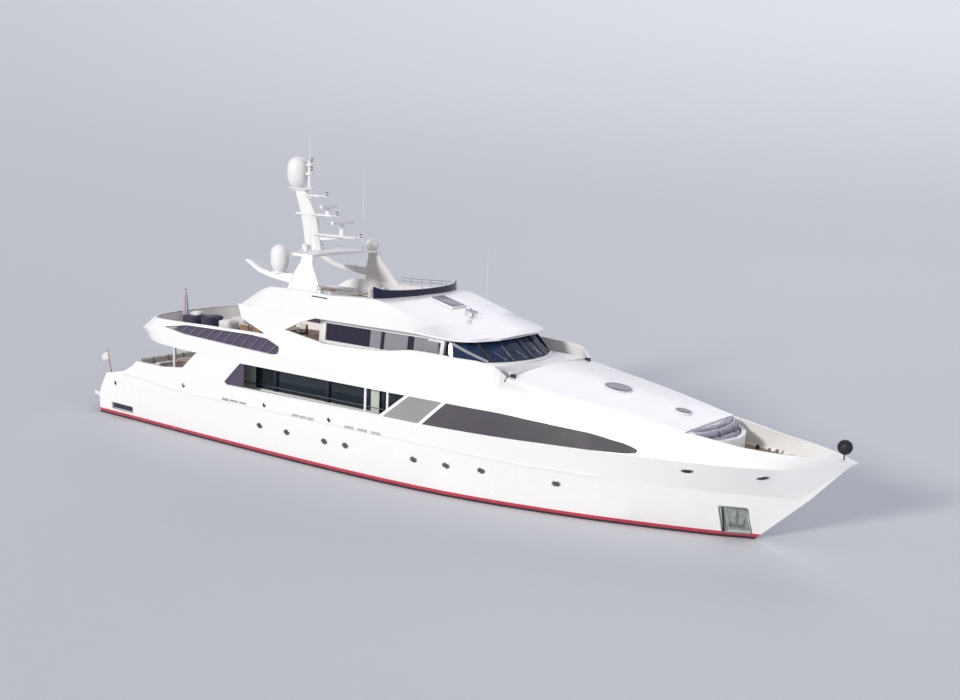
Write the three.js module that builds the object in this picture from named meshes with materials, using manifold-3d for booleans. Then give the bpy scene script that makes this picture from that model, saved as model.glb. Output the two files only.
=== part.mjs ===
// Motor yacht at half of its real size, in millimetres.
// +X points to the bow, +Y to port and +Z up. The origin is amidships, on the centreline at the waterline.
import * as THREE from "three";
import { mergeVertices } from "three/addons/utils/BufferGeometryUtils.js";
import Module from "manifold-3d";

const wasm = await Module();
wasm.setup();

// Clearances and wall thicknesses
const GAP = 0.3;
const FIT = 0.5;
const RUN = 6;
const PLATE = 60;
const CORNER = 40;
const HOUSE_WALL = 50;
const GLASS = 8;

// Levels
const PLATFORM_TOP = 500;
const MAIN_DECK = 1040;
const TEAK = 22;
const SIDE_TOP = 2235;
const UPPER_DECK = 2400;
const UPPER_DECK_THICK = 50;
const BULWARK_KNUCKLE = 2600;
const SUN_DECK = 3690;
const FOREDECK = 1635;

// Stations
const STERN = -9150;
const PLATFORM_AFT = -9780;
const CABIN_START = 2990;
const BOW_START = 8320;
const FAR = 13000;

// Hull below the main deck, one row for each station from the stern to the stem.
// Columns: keel x and z, bilge x, y and z, waterline x and y, deck edge x and y.
const HULL = [
  [-9150, -495, -9150, 1715, -375, -9150, 1925, -9150, 1995],
  [-7280, -675, -7280, 1795, -495, -7280, 1975, -7280, 2100],
  [-5200, -830, -5200, 1845, -570, -5200, 2055, -5200, 2185],
  [-2600, -910, -2600, 1870, -625, -2600, 2120, -2600, 2220],
  [0, -935, 0, 1820, -650, 0, 2130, 0, 2225],
  [2080, -935, 2080, 1610, -650, 2080, 2045, 2080, 2185],
  [3640, -935, 3640, 1350, -625, 3640, 1845, 3640, 2080],
  [4890, -925, 4890, 1040, -600, 4890, 1585, 4940, 1905],
  [6085, -910, 6085, 730, -570, 6135, 1275, 6240, 1610],
  [7020, -875, 7020, 470, -545, 7125, 960, 7330, 1300],
  [7750, -790, 7800, 285, -495, 7955, 675, 8320, 990],
  [8270, -695, 8370, 165, -425, 8580, 440, 9150, 665],
  [8625, -570, 8780, 95, -340, 8990, 260, 9770, 390],
  [8895, -440, 9050, 40, -260, 9250, 115, 10240, 170],
  [9090, -355, 9300, 15, -175, 9480, 15, 10575, 15],
];

// Topsides above the main deck at the same stations.
// Columns: knuckle x, y and z, middle x, y and z, top edge x, y and z.
const TOPSIDES = [
  [-9150, 2020, 1620, -9150, 2005, 1950, -9150, 1985, 2235],
  [-7280, 2120, 1620, -7280, 2110, 1950, -7280, 2090, 2235],
  [-5200, 2210, 1620, -5200, 2205, 1950, -5200, 2185, 2235],
  [-2600, 2245, 1620, -2600, 2240, 1950, -2600, 2220, 2235],
  [0, 2250, 1620, 0, 2240, 1950, 0, 2220, 2235],
  [2080, 2235, 1620, 2080, 2220, 1950, 2080, 2185, 2235],
  [3640, 2195, 1635, 3640, 2165, 1950, 3640, 2110, 2235],
  [4940, 2070, 1650, 4940, 2030, 1950, 4940, 1950, 2235],
  [6240, 1830, 1665, 6240, 1770, 1950, 6240, 1655, 2235],
  [7385, 1585, 1685, 7385, 1510, 1950, 7385, 1360, 2235],
  [8425, 1350, 1700, 8425, 1270, 1950, 8425, 1130, 2230],
  [9360, 1100, 1715, 9385, 1050, 1925, 9410, 965, 2100],
  [10130, 755, 1730, 10185, 755, 1900, 10235, 740, 2055],
  [10715, 375, 1745, 10795, 405, 1890, 10900, 425, 2030],
  [11215, 15, 1745, 11340, 15, 1870, 11500, 15, 1985],
];

// Side outline of the topsides at the stern, up to where they meet the upper deck.
// Columns: x, z.
const STERN_PROFILE = [
  [-8780, 1160],
  [-7980, 1330],
  [-7560, 1540],
  [-7410, 1680],
  [-6310, 1690],
  [-5500, 1780],
  [-5050, 2180],
  [-4960, SIDE_TOP],
];

// Upper bulwark, starboard half, from its forward end to the middle of the stern.
// Columns: base x, y and z, knuckle x and y, top x, y and z.
const UPPER_BULWARK = [
  [4290, 2080, 2235, 4290, 2020, 4290, 1745, 2885],
  [4005, 2095, 2235, 4005, 2070, 4005, 1870, 3110],
  [3120, 2140, 2235, 3120, 2140, 3120, 2005, 3170],
  [1870, 2195, 2235, 1870, 2195, 1870, 2050, 3190],
  [1040, 2210, 2235, 1040, 2210, 1040, 2060, 3060],
  [-780, 2220, 2235, -780, 2225, -780, 2070, 3005],
  [-2600, 2220, 2235, -2600, 2225, -2600, 2065, 2995],
  [-4680, 2195, 2235, -4680, 2210, -4680, 2050, 2955],
  [-6500, 2110, 2280, -6500, 2140, -6500, 2000, 2910],
  [-7200, 1820, 2330, -7330, 1930, -7070, 1770, 2895],
  [-7560, 1150, 2345, -7850, 1200, -7400, 1130, 2890],
  [-7700, 0, 2350, -8035, 0, -7560, 0, 2885],
];

// Long slot in each side of the upper bulwark. Columns: x, z.
const BULWARK_SLOT = [
  [-6350, 2740],
  [-5450, 2880],
  [-3200, 2925],
  [-2560, 2900],
  [-2080, 2760],
  [-2060, 2600],
  [-2260, 2555],
  [-5450, 2655],
];

// Coach roof ahead of the wheelhouse. Columns: x, half breadth at the foot, edge y and z, crown z.
const COACH_ROOF = [
  [4289, 2080, 1725, 2850, 2955],
  [4940, 1950, 1630, 2765, 2860],
  [5980, 1715, 1505, 2625, 2695],
  [7020, 1445, 1330, 2480, 2520],
  [7590, 1315, 1215, 2390, 2425],
  [8010, 1210, 1145, 2315, 2330],
  [8315, 1150, 1125, 2262, 2275],
];

// Sun deck and wheelhouse roof. Columns: x, eave y and z, coaming y and z, crown z.
const SUN_ROOF = [
  [-3640, 1925, 3600, 1770, 3690, 3690],
  [-3330, 2020, 3570, 1665, 3925, 3925],
  [-2910, 2040, 3570, 1640, 4100, 4100],
  [-1040, 2045, 3570, 1640, 4085, 4085],
  [415, 2040, 3570, 1665, 4150, 4160],
  [675, 2030, 3570, 1665, 4125, 4185],
  [1300, 2010, 3570, 1665, 3950, 4045],
  [1925, 1975, 3560, 1655, 3770, 3875],
  [2495, 1870, 3510, 1610, 3615, 3720],
  [2910, 1665, 3465, 1510, 3520, 3615],
  [3170, 1405, 3460, 1300, 3485, 3545],
  [3405, 780, 3460, 675, 3480, 3505],
];

// Outline of the wheelhouse and sky lounge, port half, from aft to the middle of the front.
// Columns: sill x and y, head x and y.
const UPPER_HOUSE = [
  [-1300, 0, -1300, 0],
  [-1300, 1600, -1300, 1580],
  [-1230, 1690, -1230, 1650],
  [-1100, 1715, -1100, 1670],
  [2450, 1715, 2300, 1660],
  [2900, 1630, 2640, 1590],
  [3260, 1440, 2900, 1440],
  [3560, 1150, 3090, 1180],
  [3760, 780, 3220, 800],
  [3870, 390, 3290, 400],
  [3905, 0, 3315, 0],
];
const HOUSE_SILL = 2990;
const HOUSE_HEAD = 3455;
const HOUSE_TOP = 3640;

// Buttress from the sun deck down to the upper bulwark. Columns: x, z.
const BUTTRESS = [
  [-3640, 3640],
  [-3510, 3292],
  [-2600, 2960],
  [-832, 2970],
  [-832, 3011],
  [-2038, 3177],
  [-1487, 3427],
  [-946, 3600],
];

// Window outlines in the topsides. Columns: x, z.
const SIDE_OPENING = [
  [-3370, 2190],
  [1880, 2175],
  [1170, 1617],
  [-3230, 1575],
  [-3790, 1570],
  [-3920, 1645],
];
const SCREEN = [
  [1990, 2175],
  [2900, 2170],
  [2290, 1610],
  [1280, 1612],
];
const FLUSH_WINDOW = [
  [3010, 2168],
  [4370, 2150],
  [5420, 2080],
  [6400, 2007],
  [7150, 1900],
  [7400, 1835],
  [7478, 1789],
  [7440, 1725],
  [7228, 1695],
  [6430, 1668],
  [5440, 1660],
  [2400, 1610],
];

const FINISHES = {
  white: { color: 0xf4f3ef, roughness: 0.3, metalness: 0 },
  grey: { color: 0xb9bac4, roughness: 0.5, metalness: 0 },
  teak: { color: 0xb08a62, roughness: 0.7, metalness: 0 },
  glass: { color: 0x151d2b, roughness: 0.08, metalness: 0 },
  steel: { color: 0xb5b8bc, roughness: 0.3, metalness: 1 },
  bronze: { color: 0xa97b45, roughness: 0.35, metalness: 1 },
  navy: { color: 0x1c2740, roughness: 0.8, metalness: 0 },
  black: { color: 0x0b0b0d, roughness: 0.6, metalness: 0 },
};

const yacht = new THREE.Group();

function solid(geometry) {
  const plain = geometry.clone();
  plain.deleteAttribute("normal");
  plain.deleteAttribute("uv");
  const merged = mergeVertices(plain, 0.001);
  const corners = merged.index.array;
  const kept = [];
  for (let i = 0; i < corners.length; i += 3) {
    const [a, b, c] = corners.slice(i, i + 3);
    if (a !== b && b !== c && c !== a) {
      kept.push(a, b, c);
    }
  }
  const vertProperties = new Float32Array(merged.attributes.position.array);
  return new wasm.Manifold(new wasm.Mesh({ numProp: 3, vertProperties, triVerts: new Uint32Array(kept) }));
}

function geometryOf(body) {
  const { vertProperties, triVerts } = body.getMesh();
  const geometry = new THREE.BufferGeometry();
  geometry.setAttribute("position", new THREE.BufferAttribute(new Float32Array(vertProperties), 3));
  geometry.setIndex(new THREE.BufferAttribute(new Uint32Array(triVerts), 1));
  geometry.computeVertexNormals();
  return geometry;
}

// A body moved, turned or mirrored by a matrix.
function transformed(body, matrix) {
  const geometry = geometryOf(body).applyMatrix4(matrix);
  if (matrix.determinant() < 0) {
    geometry.index.array.reverse();
  }
  return solid(geometry);
}

function moved(body, x, y, z) {
  return transformed(body, new THREE.Matrix4().makeTranslation(x, y, z));
}

function turned(body, axis, degrees) {
  const matrix = new THREE.Matrix4().makeRotationAxis(axis, THREE.MathUtils.degToRad(degrees));
  return transformed(body, matrix);
}

function toPort(body) {
  return transformed(body, new THREE.Matrix4().makeScale(1, -1, 1));
}

function withMirror(body) {
  return body.add(toPort(body));
}

function add(name, body, finish, position = [0, 0, 0]) {
  const mesh = new THREE.Mesh(geometryOf(body), new THREE.MeshStandardMaterial(FINISHES[finish]));
  mesh.name = name;
  mesh.position.set(...position);
  yacht.add(mesh);
}

function addPair(name, starboard, finish) {
  add(`${name}_starboard`, starboard, finish);
  add(`${name}_port`, toPort(starboard), finish);
}

function box(x0, x1, y0, y1, z0, z1) {
  const geometry = new THREE.BoxGeometry(x1 - x0, y1 - y0, z1 - z0);
  return solid(geometry.translate((x0 + x1) / 2, (y0 + y1) / 2, (z0 + z1) / 2));
}

function cylinder(radius, length, sides = 24, topRadius = radius) {
  return solid(new THREE.CylinderGeometry(topRadius, radius, length, sides).rotateX(Math.PI / 2));
}

function roundedShape(points, radius) {
  const corners = points.map(([x, y]) => new THREE.Vector2(x, y));
  const shape = new THREE.Shape();
  corners.forEach((corner, i) => {
    const before = corners.at(i - 1);
    const after = corners[(i + 1) % corners.length];
    const into = before.clone().sub(corner).setLength(Math.min(radius, corner.distanceTo(before) * 0.45));
    const out = after.clone().sub(corner).setLength(Math.min(radius, corner.distanceTo(after) * 0.45));
    const start = corner.clone().add(into);
    const end = corner.clone().add(out);
    if (i === 0) {
      shape.moveTo(start.x, start.y);
    } else {
      shape.lineTo(start.x, start.y);
    }
    if (radius > 0) {
      shape.quadraticCurveTo(corner.x, corner.y, end.x, end.y);
    }
  });
  shape.closePath();
  return shape;
}

// A plan outline raised from z0 to z1.
function planPrism(points, z0, z1, radius = 0) {
  const shape = roundedShape(points, radius);
  const settings = { depth: z1 - z0, bevelEnabled: false, curveSegments: 4 };
  return solid(new THREE.ExtrudeGeometry(shape, settings).translate(0, 0, z0));
}

// A side outline of x and z points carried from y0 to y1.
function sidePrism(points, y0, y1, radius = 0) {
  const shape = roundedShape(points, radius);
  const settings = { depth: y1 - y0, bevelEnabled: false, curveSegments: 4 };
  return solid(new THREE.ExtrudeGeometry(shape, settings).rotateX(Math.PI / 2).translate(0, y1, 0));
}

// Corners of a closed outline moved inward by a distance, each along its mitre. Doubled corners stay doubled.
function drawnIn(corners, distance) {
  const side = THREE.ShapeUtils.isClockWise(corners) ? -1 : 1;
  const distinct = (i, step) => {
    const neighbour = corners.at((i + step) % corners.length);
    return neighbour.distanceTo(corners[i]) > FIT ? neighbour : corners.at((i + 2 * step) % corners.length);
  };
  return corners.map((corner, i) => {
    const into = corner.clone().sub(distinct(i, -1)).normalize();
    const out = distinct(i, 1).clone().sub(corner).normalize();
    const mitre = new THREE.Vector2(-into.y - out.y, into.x + out.x);
    return corner.clone().addScaledVector(mitre, (side * distance) / (1 + into.dot(out)));
  });
}

function ringNormal(ring) {
  const normal = new THREE.Vector3();
  ring.forEach((p, i) => {
    normal.add(new THREE.Vector3().crossVectors(p, ring[(i + 1) % ring.length]));
  });
  return normal.normalize();
}

// A closed skin through rings of the same even number of points. In each ring the points pair up
// from its two ends, first with last and so on, and the caps run between the pairs.
function loft(rings) {
  const count = rings[0].length;
  const direction = rings[1][0].clone().sub(rings[0][0]);
  const flipped = ringNormal(rings[0]).dot(direction) < 0;
  const last = (rings.length - 1) * count;
  const faces = [];
  const next = (i) => (i + 1) % count;
  const addQuad = (a, b, c, d) => (flipped ? faces.push(c, b, a, d, c, a) : faces.push(a, b, c, a, c, d));
  for (let k = 0; k < last; k += count) {
    for (let i = 0; i < count; i += 1) {
      const corners = [k + i, k + next(i), k + next(i) + count, k + i + count];
      // The second half of a ring takes the other diagonal, so that a symmetric ring gives a symmetric skin.
      addQuad(...(i < count / 2 ? corners : [...corners.slice(1), corners[0]]));
    }
  }
  for (let i = 0; i < count / 2 - 1; i += 1) {
    addQuad(count - 1 - i, count - 2 - i, i + 1, i);
    addQuad(last + i, last + i + 1, last + count - 2 - i, last + count - 1 - i);
  }
  const geometry = new THREE.BufferGeometry();
  const positions = rings.flat().flatMap((p) => [p.x, p.y, p.z]);
  geometry.setAttribute("position", new THREE.Float32BufferAttribute(positions, 3));
  geometry.setIndex(faces);
  return solid(geometry);
}

// Rows of points made finer along the boat by a smooth curve through each column.
function refine(rows, steps) {
  const columns = rows[0].map((_, i) => new THREE.CatmullRomCurve3(rows.map((row) => row[i])));
  const total = (rows.length - 1) * steps;
  return Array.from({ length: total + 1 }, (_, k) => columns.map((curve) => curve.getPoint(k / total)));
}

function mirrored(p) {
  return new THREE.Vector3(p.x, -p.y, p.z);
}

// A loft of full sections from the port half of each, given from its lowest point to its highest.
function symmetricLoft(halves) {
  return loft(halves.map((half) => [...half, ...half.map(mirrored).reverse()]));
}

function point(x, y, z) {
  return new THREE.Vector3(x, y, z);
}

function canoeBody() {
  const rows = HULL.map(([kx, kz, bx, by, bz, wx, wy, dx, dy]) => [
    point(kx, 0, kz), point(bx, by, bz), point(wx, wy, 0), point(dx, dy, MAIN_DECK),
  ]);
  const halves = refine(rows, 2).map(([keel, bilge, water, deck]) => {
    const low = new THREE.Vector3().lerpVectors(keel, bilge, 0.62);
    const high = new THREE.Vector3().lerpVectors(bilge, water, 0.5);
    const turn = new THREE.QuadraticBezierCurve3(low, bilge, high).getPoints(4);
    return [keel, ...turn, water, deck];
  });
  return symmetricLoft(halves);
}

// The outside of the topsides, or its inside when every half breadth is cut by the inset.
function topsideEnvelope(inset) {
  const cut = (x, y, z) => point(x, Math.max(y - inset, 1), z);
  const rows = TOPSIDES.map(([kx, ky, kz, mx, my, mz, tx, ty, tz], i) => {
    const deckX = HULL[i][7];
    const deckY = HULL[i][8];
    return [cut(deckX, deckY, MAIN_DECK), cut(kx, ky, kz), cut(mx, my, mz), cut(tx, ty, tz)];
  });
  return symmetricLoft(refine(rows, 2));
}

// A wall whose outer face runs through rows of points, its thickness measured inward in plan.
function wall(rows, thickness) {
  const rings = rows.map((row, i) => {
    const before = rows[Math.max(i - 1, 0)];
    const after = rows[Math.min(i + 1, rows.length - 1)];
    const inner = row.map((p, j) => {
      const along = after[j].clone().sub(before[j]);
      const inward = point(along.y, -along.x, 0).setLength(thickness);
      return p.clone().add(inward);
    });
    return [...row, ...inner.reverse()];
  });
  return loft(rings);
}

function bulwarkRows() {
  const starboard = UPPER_BULWARK.map(([bx, by, bz, kx, ky, tx, ty, tz]) => [
    point(bx, -by, bz + GAP), point(kx, -ky, BULWARK_KNUCKLE), point(tx, -ty, tz),
  ]);
  const port = starboard.slice(0, -1).map((row) => row.map(mirrored)).reverse();
  return refine([...starboard, ...port], 2);
}

function bulwarkWall(thickness) {
  return wall(bulwarkRows(), thickness);
}

// The upper house between two levels, with its outlines moved outward by the offset.
function houseBody(offset, low, high) {
  const outline = (xColumn, yColumn, z) => {
    const half = UPPER_HOUSE.map((row) => new THREE.Vector2(row[xColumn], row[yColumn]));
    const ring = [...half, ...half.map(({ x, y }) => new THREE.Vector2(x, -y)).reverse()];
    return drawnIn(ring, -offset).map(({ x, y }) => point(x, y, z));
  };
  const rise = (HOUSE_TOP - HOUSE_SILL) / (HOUSE_HEAD - HOUSE_SILL);
  const sill = outline(0, 1, HOUSE_SILL);
  const head = outline(2, 3, HOUSE_HEAD);
  const foot = sill.map((p) => point(p.x, p.y, UPPER_DECK - FAR));
  const top = sill.map((p, i) => new THREE.Vector3().lerpVectors(p, head[i], rise));
  return loft([foot, sill, top]).intersect(box(-2000, 5000, -2500, 2500, low, high));
}

// Underwater gear. Each shaft slopes down aft from its boss on the hull, through the strut, to the propeller.
const AXES = { x: point(1, 0, 0), y: point(0, 1, 0), z: point(0, 0, 1) };
const SHAFT = { y: 900, x: -8050, z: -860, slope: 5, radius: 38, length: 1500 };
const PROPELLER = { radius: 310, hubRadius: 75, hubLength: 170, blades: 4 };
const RUDDER = { x: -8850, y: 900, top: -560, height: 640, chord: 430, thickness: 62, stock: 38 };
const FIN = { x: 300, y: 1640, z: -790, chord: 560, span: 460, thickness: 70, stock: 55, tilt: 45 };
const BOSS_RADIUS = 80;

function alongShaft(body) {
  const sloped = turned(body, AXES.y, -SHAFT.slope);
  return moved(sloped, SHAFT.x, -SHAFT.y, SHAFT.z);
}

function lying(radius, x0, x1, sides = 24) {
  return moved(turned(cylinder(radius, x1 - x0, sides), AXES.y, 90), (x0 + x1) / 2, 0, 0);
}

function propeller() {
  const hub = lying(PROPELLER.hubRadius, -PROPELLER.hubLength - 160, -160);
  const cone = moved(turned(cylinder(PROPELLER.hubRadius, 90, 24, 20), AXES.y, -90), -375, 0, 0);
  const outline = new THREE.Shape();
  outline.moveTo(-60, 50);
  outline.quadraticCurveTo(-190, 200, -120, 290);
  outline.quadraticCurveTo(0, 335, 120, 270);
  outline.quadraticCurveTo(170, 180, 60, 50);
  const settings = { depth: 16, bevelEnabled: false, curveSegments: 6 };
  const blade = turned(solid(new THREE.ExtrudeGeometry(outline, settings).translate(0, 0, -8)), AXES.x, 90);
  const pitched = moved(turned(blade, AXES.z, 58), -160 - PROPELLER.hubLength / 2, 0, 0);
  let screw = hub.add(cone).add(lying(SHAFT.radius, -170, SHAFT.length, 16));
  for (let i = 0; i < PROPELLER.blades; i += 1) {
    screw = screw.add(turned(pitched, AXES.x, (360 / PROPELLER.blades) * i + 45));
  }
  return alongShaft(screw);
}

function strut() {
  const barrel = lying(BOSS_RADIUS, -160 + GAP, 160).subtract(lying(SHAFT.radius + 2, -300, 300, 16));
  const leg = box(-110, 110, -18, 18, 60, 700);
  const legs = turned(leg, AXES.x, 24).add(turned(leg, AXES.x, -24));
  return alongShaft(barrel.add(legs.subtract(lying(BOSS_RADIUS - 10, -300, 300))));
}

function shaftLog() {
  return alongShaft(lying(BOSS_RADIUS, SHAFT.length + RUN, SHAFT.length + 900));
}

function rudder() {
  const half = RUDDER.chord / 2;
  const side = RUDDER.thickness / 2;
  const section = [[-half, 0], [-half * 0.3, -side], [half * 0.7, -side], [half, 0], [half * 0.7, side],
    [-half * 0.3, side]];
  const blade = moved(planPrism(section, RUDDER.top - RUDDER.height, RUDDER.top), -60, 0, 0);
  const stock = moved(cylinder(RUDDER.stock, 60), 0, 0, RUDDER.top + 10);
  return blade.add(stock);
}

// The fin points outward and down from the bilge; its stock starts on a boss of the hull.
function alongFin(body) {
  return moved(turned(body, AXES.x, -FIN.tilt), FIN.x, -FIN.y, FIN.z);
}

function fin() {
  const outline = [[-0.62, 0.07], [0.38, 0.07], [0.26, 1], [-0.48, 1]];
  const points = outline.map(([along, out]) => [along * FIN.chord, -out * FIN.span - 40]);
  const blade = sidePrism(points, -FIN.thickness / 2, FIN.thickness / 2, 40);
  return alongFin(blade.add(moved(cylinder(FIN.stock, 160), 0, 0, -80 - GAP)));
}

// Recesses in the starboard side whose backs lie parallel to the hull's skin
function anchorPocket(body) {
  return box(8930, 9430, -1500, -20, 135, 710).subtract(moved(body, 0, 110, 0));
}

function exhaust(body) {
  return box(-8600, -7700, -FAR, -100, 190, 370).subtract(moved(body, 0, 90, 0));
}

const TRANSOM_FOOT = 562;
const TRANSOM_RAKE = 0.62;
const STAIR = { inner: 1180, outer: 1640, run: 150, rise: 108, steps: 4 };

function transomX(z) {
  return STERN + (z - TRANSOM_FOOT) * TRANSOM_RAKE;
}

function stairCut() {
  const points = [[STERN - 100, MAIN_DECK + 200], [STERN - 100, TRANSOM_FOOT + 46]];
  for (let i = 1; i <= STAIR.steps; i += 1) {
    const x = STERN + 60 + i * STAIR.run;
    points.push([x, TRANSOM_FOOT + 46 + (i - 1) * STAIR.rise], [x, TRANSOM_FOOT + 46 + i * STAIR.rise]);
  }
  points.push([STERN + 60 + STAIR.steps * STAIR.run, MAIN_DECK + 200]);
  return sidePrism(points, -STAIR.outer, -STAIR.inner);
}

const GARAGE = { x: -7900, y: 700, low: 600, high: 930 };
const DOOR = { halfWidth: 780, thickness: 30, low: 580, high: 960 };

function hull() {
  const body = canoeBody();
  const [aft, high] = [STERN - 200, MAIN_DECK + PLATE];
  const transom = [[aft, TRANSOM_FOOT], [STERN, TRANSOM_FOOT], [transomX(high), high], [aft, high]];
  const pockets = withMirror(anchorPocket(body)).add(withMirror(exhaust(body)));
  const tunnel = moved(turned(cylinder(130, 2000, 20), AXES.x, 90), 7650, 0, -430);
  const skeg = sidePrism([[-6900, -1010], [-4300, -1000], [-2600, -860], [-6700, -600]], -45, 45);
  const rudderBoss = moved(cylinder(BOSS_RADIUS, 240), RUDDER.x, -RUDDER.y, RUDDER.top + 40 + GAP + 120);
  const finBoss = alongFin(moved(cylinder(BOSS_RADIUS, 300), 0, 0, 150));
  const gear = withMirror(rudderBoss.add(strut()).add(shaftLog()).add(finBoss));
  return body
    .subtract(sidePrism(transom, -3000, 3000))
    .subtract(withMirror(stairCut()))
    .subtract(pockets)
    .subtract(tunnel)
    .subtract(box(STERN - 100, GARAGE.x, -GARAGE.y, GARAGE.y, GARAGE.low, GARAGE.high))
    .add(skeg)
    .add(gear)
    .add(withMirror(hingeLugs()))
    .add(swimPlatform());
}

// The transom door hangs from barrels above its top edge, each between two lugs of the hull. The pivot
// lies square out from the door's inner top corner, so that the corner only moves away as the door opens.
const TRANSOM_OUT = new THREE.Vector2(-1, TRANSOM_RAKE).normalize();
const PIVOT = {
  x: transomX(DOOR.high) - RUN + TRANSOM_OUT.x * 36,
  z: DOOR.high + TRANSOM_OUT.y * 36,
  y: 500,
  barrel: 60,
  radius: 12,
};

function aroundPivot(points, y0, y1) {
  return sidePrism(points.map(([x, z]) => [x + PIVOT.x, z + PIVOT.z]), y0, y1);
}

function swimPlatform() {
  const half = [[PLATFORM_AFT, 1500], [PLATFORM_AFT + 60, 1700], [STERN + 70, 1880]];
  const outline = [...half, ...half.map(([x, y]) => [x, -y]).reverse()];
  return planPrism(outline, PLATFORM_TOP - 90, PLATFORM_TOP, 60);
}

function hingeLugs() {
  const lug = [[-12, 4], [-8, -11], [70, -11], [80, 20], [-4, 13]];
  const outer = aroundPivot(lug, -PIVOT.y - PIVOT.barrel - 40, -PIVOT.y - PIVOT.barrel - GAP);
  return outer.add(aroundPivot(lug, -PIVOT.y + PIVOT.barrel + GAP, -PIVOT.y + PIVOT.barrel + 40));
}

function transomDoor() {
  const near = (z) => transomX(z) - RUN;
  const points = [[near(DOOR.low), DOOR.low], [near(DOOR.high), DOOR.high],
    [near(DOOR.high) - DOOR.thickness, DOOR.high], [near(DOOR.low) - DOOR.thickness, DOOR.low]];
  const panel = sidePrism(points, -DOOR.halfWidth, DOOR.halfWidth);
  const arm = aroundPivot([[-10, 0], [-6, -22], [16, -22], [10, 0]], -PIVOT.y - PIVOT.barrel + 2,
    -PIVOT.y + PIVOT.barrel - 2);
  const barrel = turned(cylinder(PIVOT.radius, PIVOT.barrel * 2, 16), AXES.x, 90);
  return panel.add(withMirror(arm.add(moved(barrel, PIVOT.x, -PIVOT.y, PIVOT.z))));
}

// Topsides: plates from the main deck up to the upper bulwark, in four lengths. The quarter ends at the aft
// edge of the side opening, a low bulwark runs under the opening, a panel holds the screen window, and the
// forward side runs on to the bow. Each joint passes through an opening or a window. Columns: x, z.
const OUTSIDE = topsideEnvelope(0);
const AFT_JOINT = [
  [-3990, MAIN_DECK],
  [-3990, 1630],
  [-3800, 1660],
  [-3330, 2140],
  [-3330, SIDE_TOP + PLATE],
];
const FORWARD_JOINT = [
  [1250, MAIN_DECK],
  [1250, 1600],
  [1100, 1680],
  [1500, 2050],
  [1790, 2150],
  [1790, SIDE_TOP + PLATE],
];
const WINDOW_JOINT = [
  [2700, MAIN_DECK],
  [2700, 1700],
  [3090, 2060],
  [3090, SIDE_TOP + PLATE],
];

function sideCut(points, radius = 0) {
  return sidePrism(points, -FAR, -10, radius);
}

// Rubbing rail along the topsides and the cap of the low bulwark. Columns: x, z of the middle.
const RUB_RAIL = [
  [-7980, 1250],
  [-7100, 1245],
  [-6300, 1170],
  [-5200, 1130],
  [-1900, 1165],
  [1500, 1165],
  [3300, 1140],
  [4850, 1100],
  [6600, 1075],
];
const SILL = [
  [-3775, 1573],
  [-3230, 1575],
  [1165, 1617],
];

// A bar along a side line, its height split about the line, between two insets from the outside.
function sideBar(line, below, above, outer, inner) {
  const lower = line.map(([x, z]) => [x, z - below]);
  const upper = line.map(([x, z]) => [x, z + above]).reverse();
  return topsideEnvelope(outer).subtract(topsideEnvelope(inner)).intersect(sideCut([...lower, ...upper]));
}

function sidePlate() {
  return OUTSIDE.subtract(topsideEnvelope(PLATE));
}

// The lengths of the starboard topside, from aft: quarter, low bulwark, window panel and forward side.
function topsideLengths() {
  const profile = [[transomX(MAIN_DECK) + 20, MAIN_DECK + GAP], ...STERN_PROFILE, [BOW_START, SIDE_TOP],
    [BOW_START, MAIN_DECK + GAP]];
  const whole = sidePlate()
    .intersect(sidePrism(profile, -FAR, -100))
    .subtract(sideCut(SIDE_OPENING, CORNER))
    .subtract(sideCut(SCREEN, CORNER / 2))
    .subtract(sideCut(FLUSH_WINDOW, CORNER / 2))
    .subtract(stairCut())
    .add(sideBar(RUB_RAIL, 28, 28, -14, 10))
    .add(sideBar(SILL, 4, 16, -12, PLATE + 12));
  const behind = (joint, shift) => {
    const edge = joint.map(([x, z]) => [x + shift, z]);
    return sidePrism([[-FAR, 0], [edge[0][0], 0], ...edge, [-FAR, SIDE_TOP + PLATE]], -FAR, -100);
  };
  const quarter = whole.intersect(behind(AFT_JOINT, 0));
  const low = whole.intersect(behind(FORWARD_JOINT, 0)).subtract(behind(AFT_JOINT, GAP));
  const halfway = (SIDE_OPENING[0][1] + SIDE_OPENING[2][1]) / 2;
  const lowBulwark = low.intersect(box(-FAR, FAR, -FAR, 0, 0, halfway));
  const panel = whole.intersect(behind(WINDOW_JOINT, 0)).subtract(behind(FORWARD_JOINT, GAP));
  return [quarter, lowBulwark, panel, whole.subtract(behind(WINDOW_JOINT, GAP))];
}

// A pane set into a window of the topsides, its outline drawn in from the window's edge.
function sidePane(points, radius) {
  const corners = points.map(([x, z]) => new THREE.Vector2(x, z));
  const smaller = drawnIn(corners, FIT).map(({ x, y }) => [x, y]);
  return topsideEnvelope(RUN).subtract(topsideEnvelope(RUN + GLASS)).intersect(sideCut(smaller, radius));
}

// Bow: a crescent recess for a sun pad behind the coach roof's front edge, then a curved breakwater, then
// the working foredeck. Columns of the curves, from the side to the middle: x, y.
const PAD_AFT = [
  [8400, 1010],
  [8530, 740],
  [8600, 370],
  [8620, 0],
];
const PAD_FORWARD = [
  [8480, 1010],
  [8700, 720],
  [8860, 350],
  [8920, 0],
];
const PAD = { floor: 1900, top: 2110 };
const BREAKWATER = { thickness: 100, top: 2070 };
const WELL_END = 11060;

// The curve from port to starboard through a half curve, moved forward by a distance.
function acrossBow(half, forward) {
  const port = half.map(([x, y]) => [x + forward, y]);
  return [...port, ...port.slice(0, -1).reverse().map(([x, y]) => [x, -y])];
}

function padOutline(inset) {
  return [...acrossBow(PAD_FORWARD, -inset), ...acrossBow(PAD_AFT, inset).reverse()];
}

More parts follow.
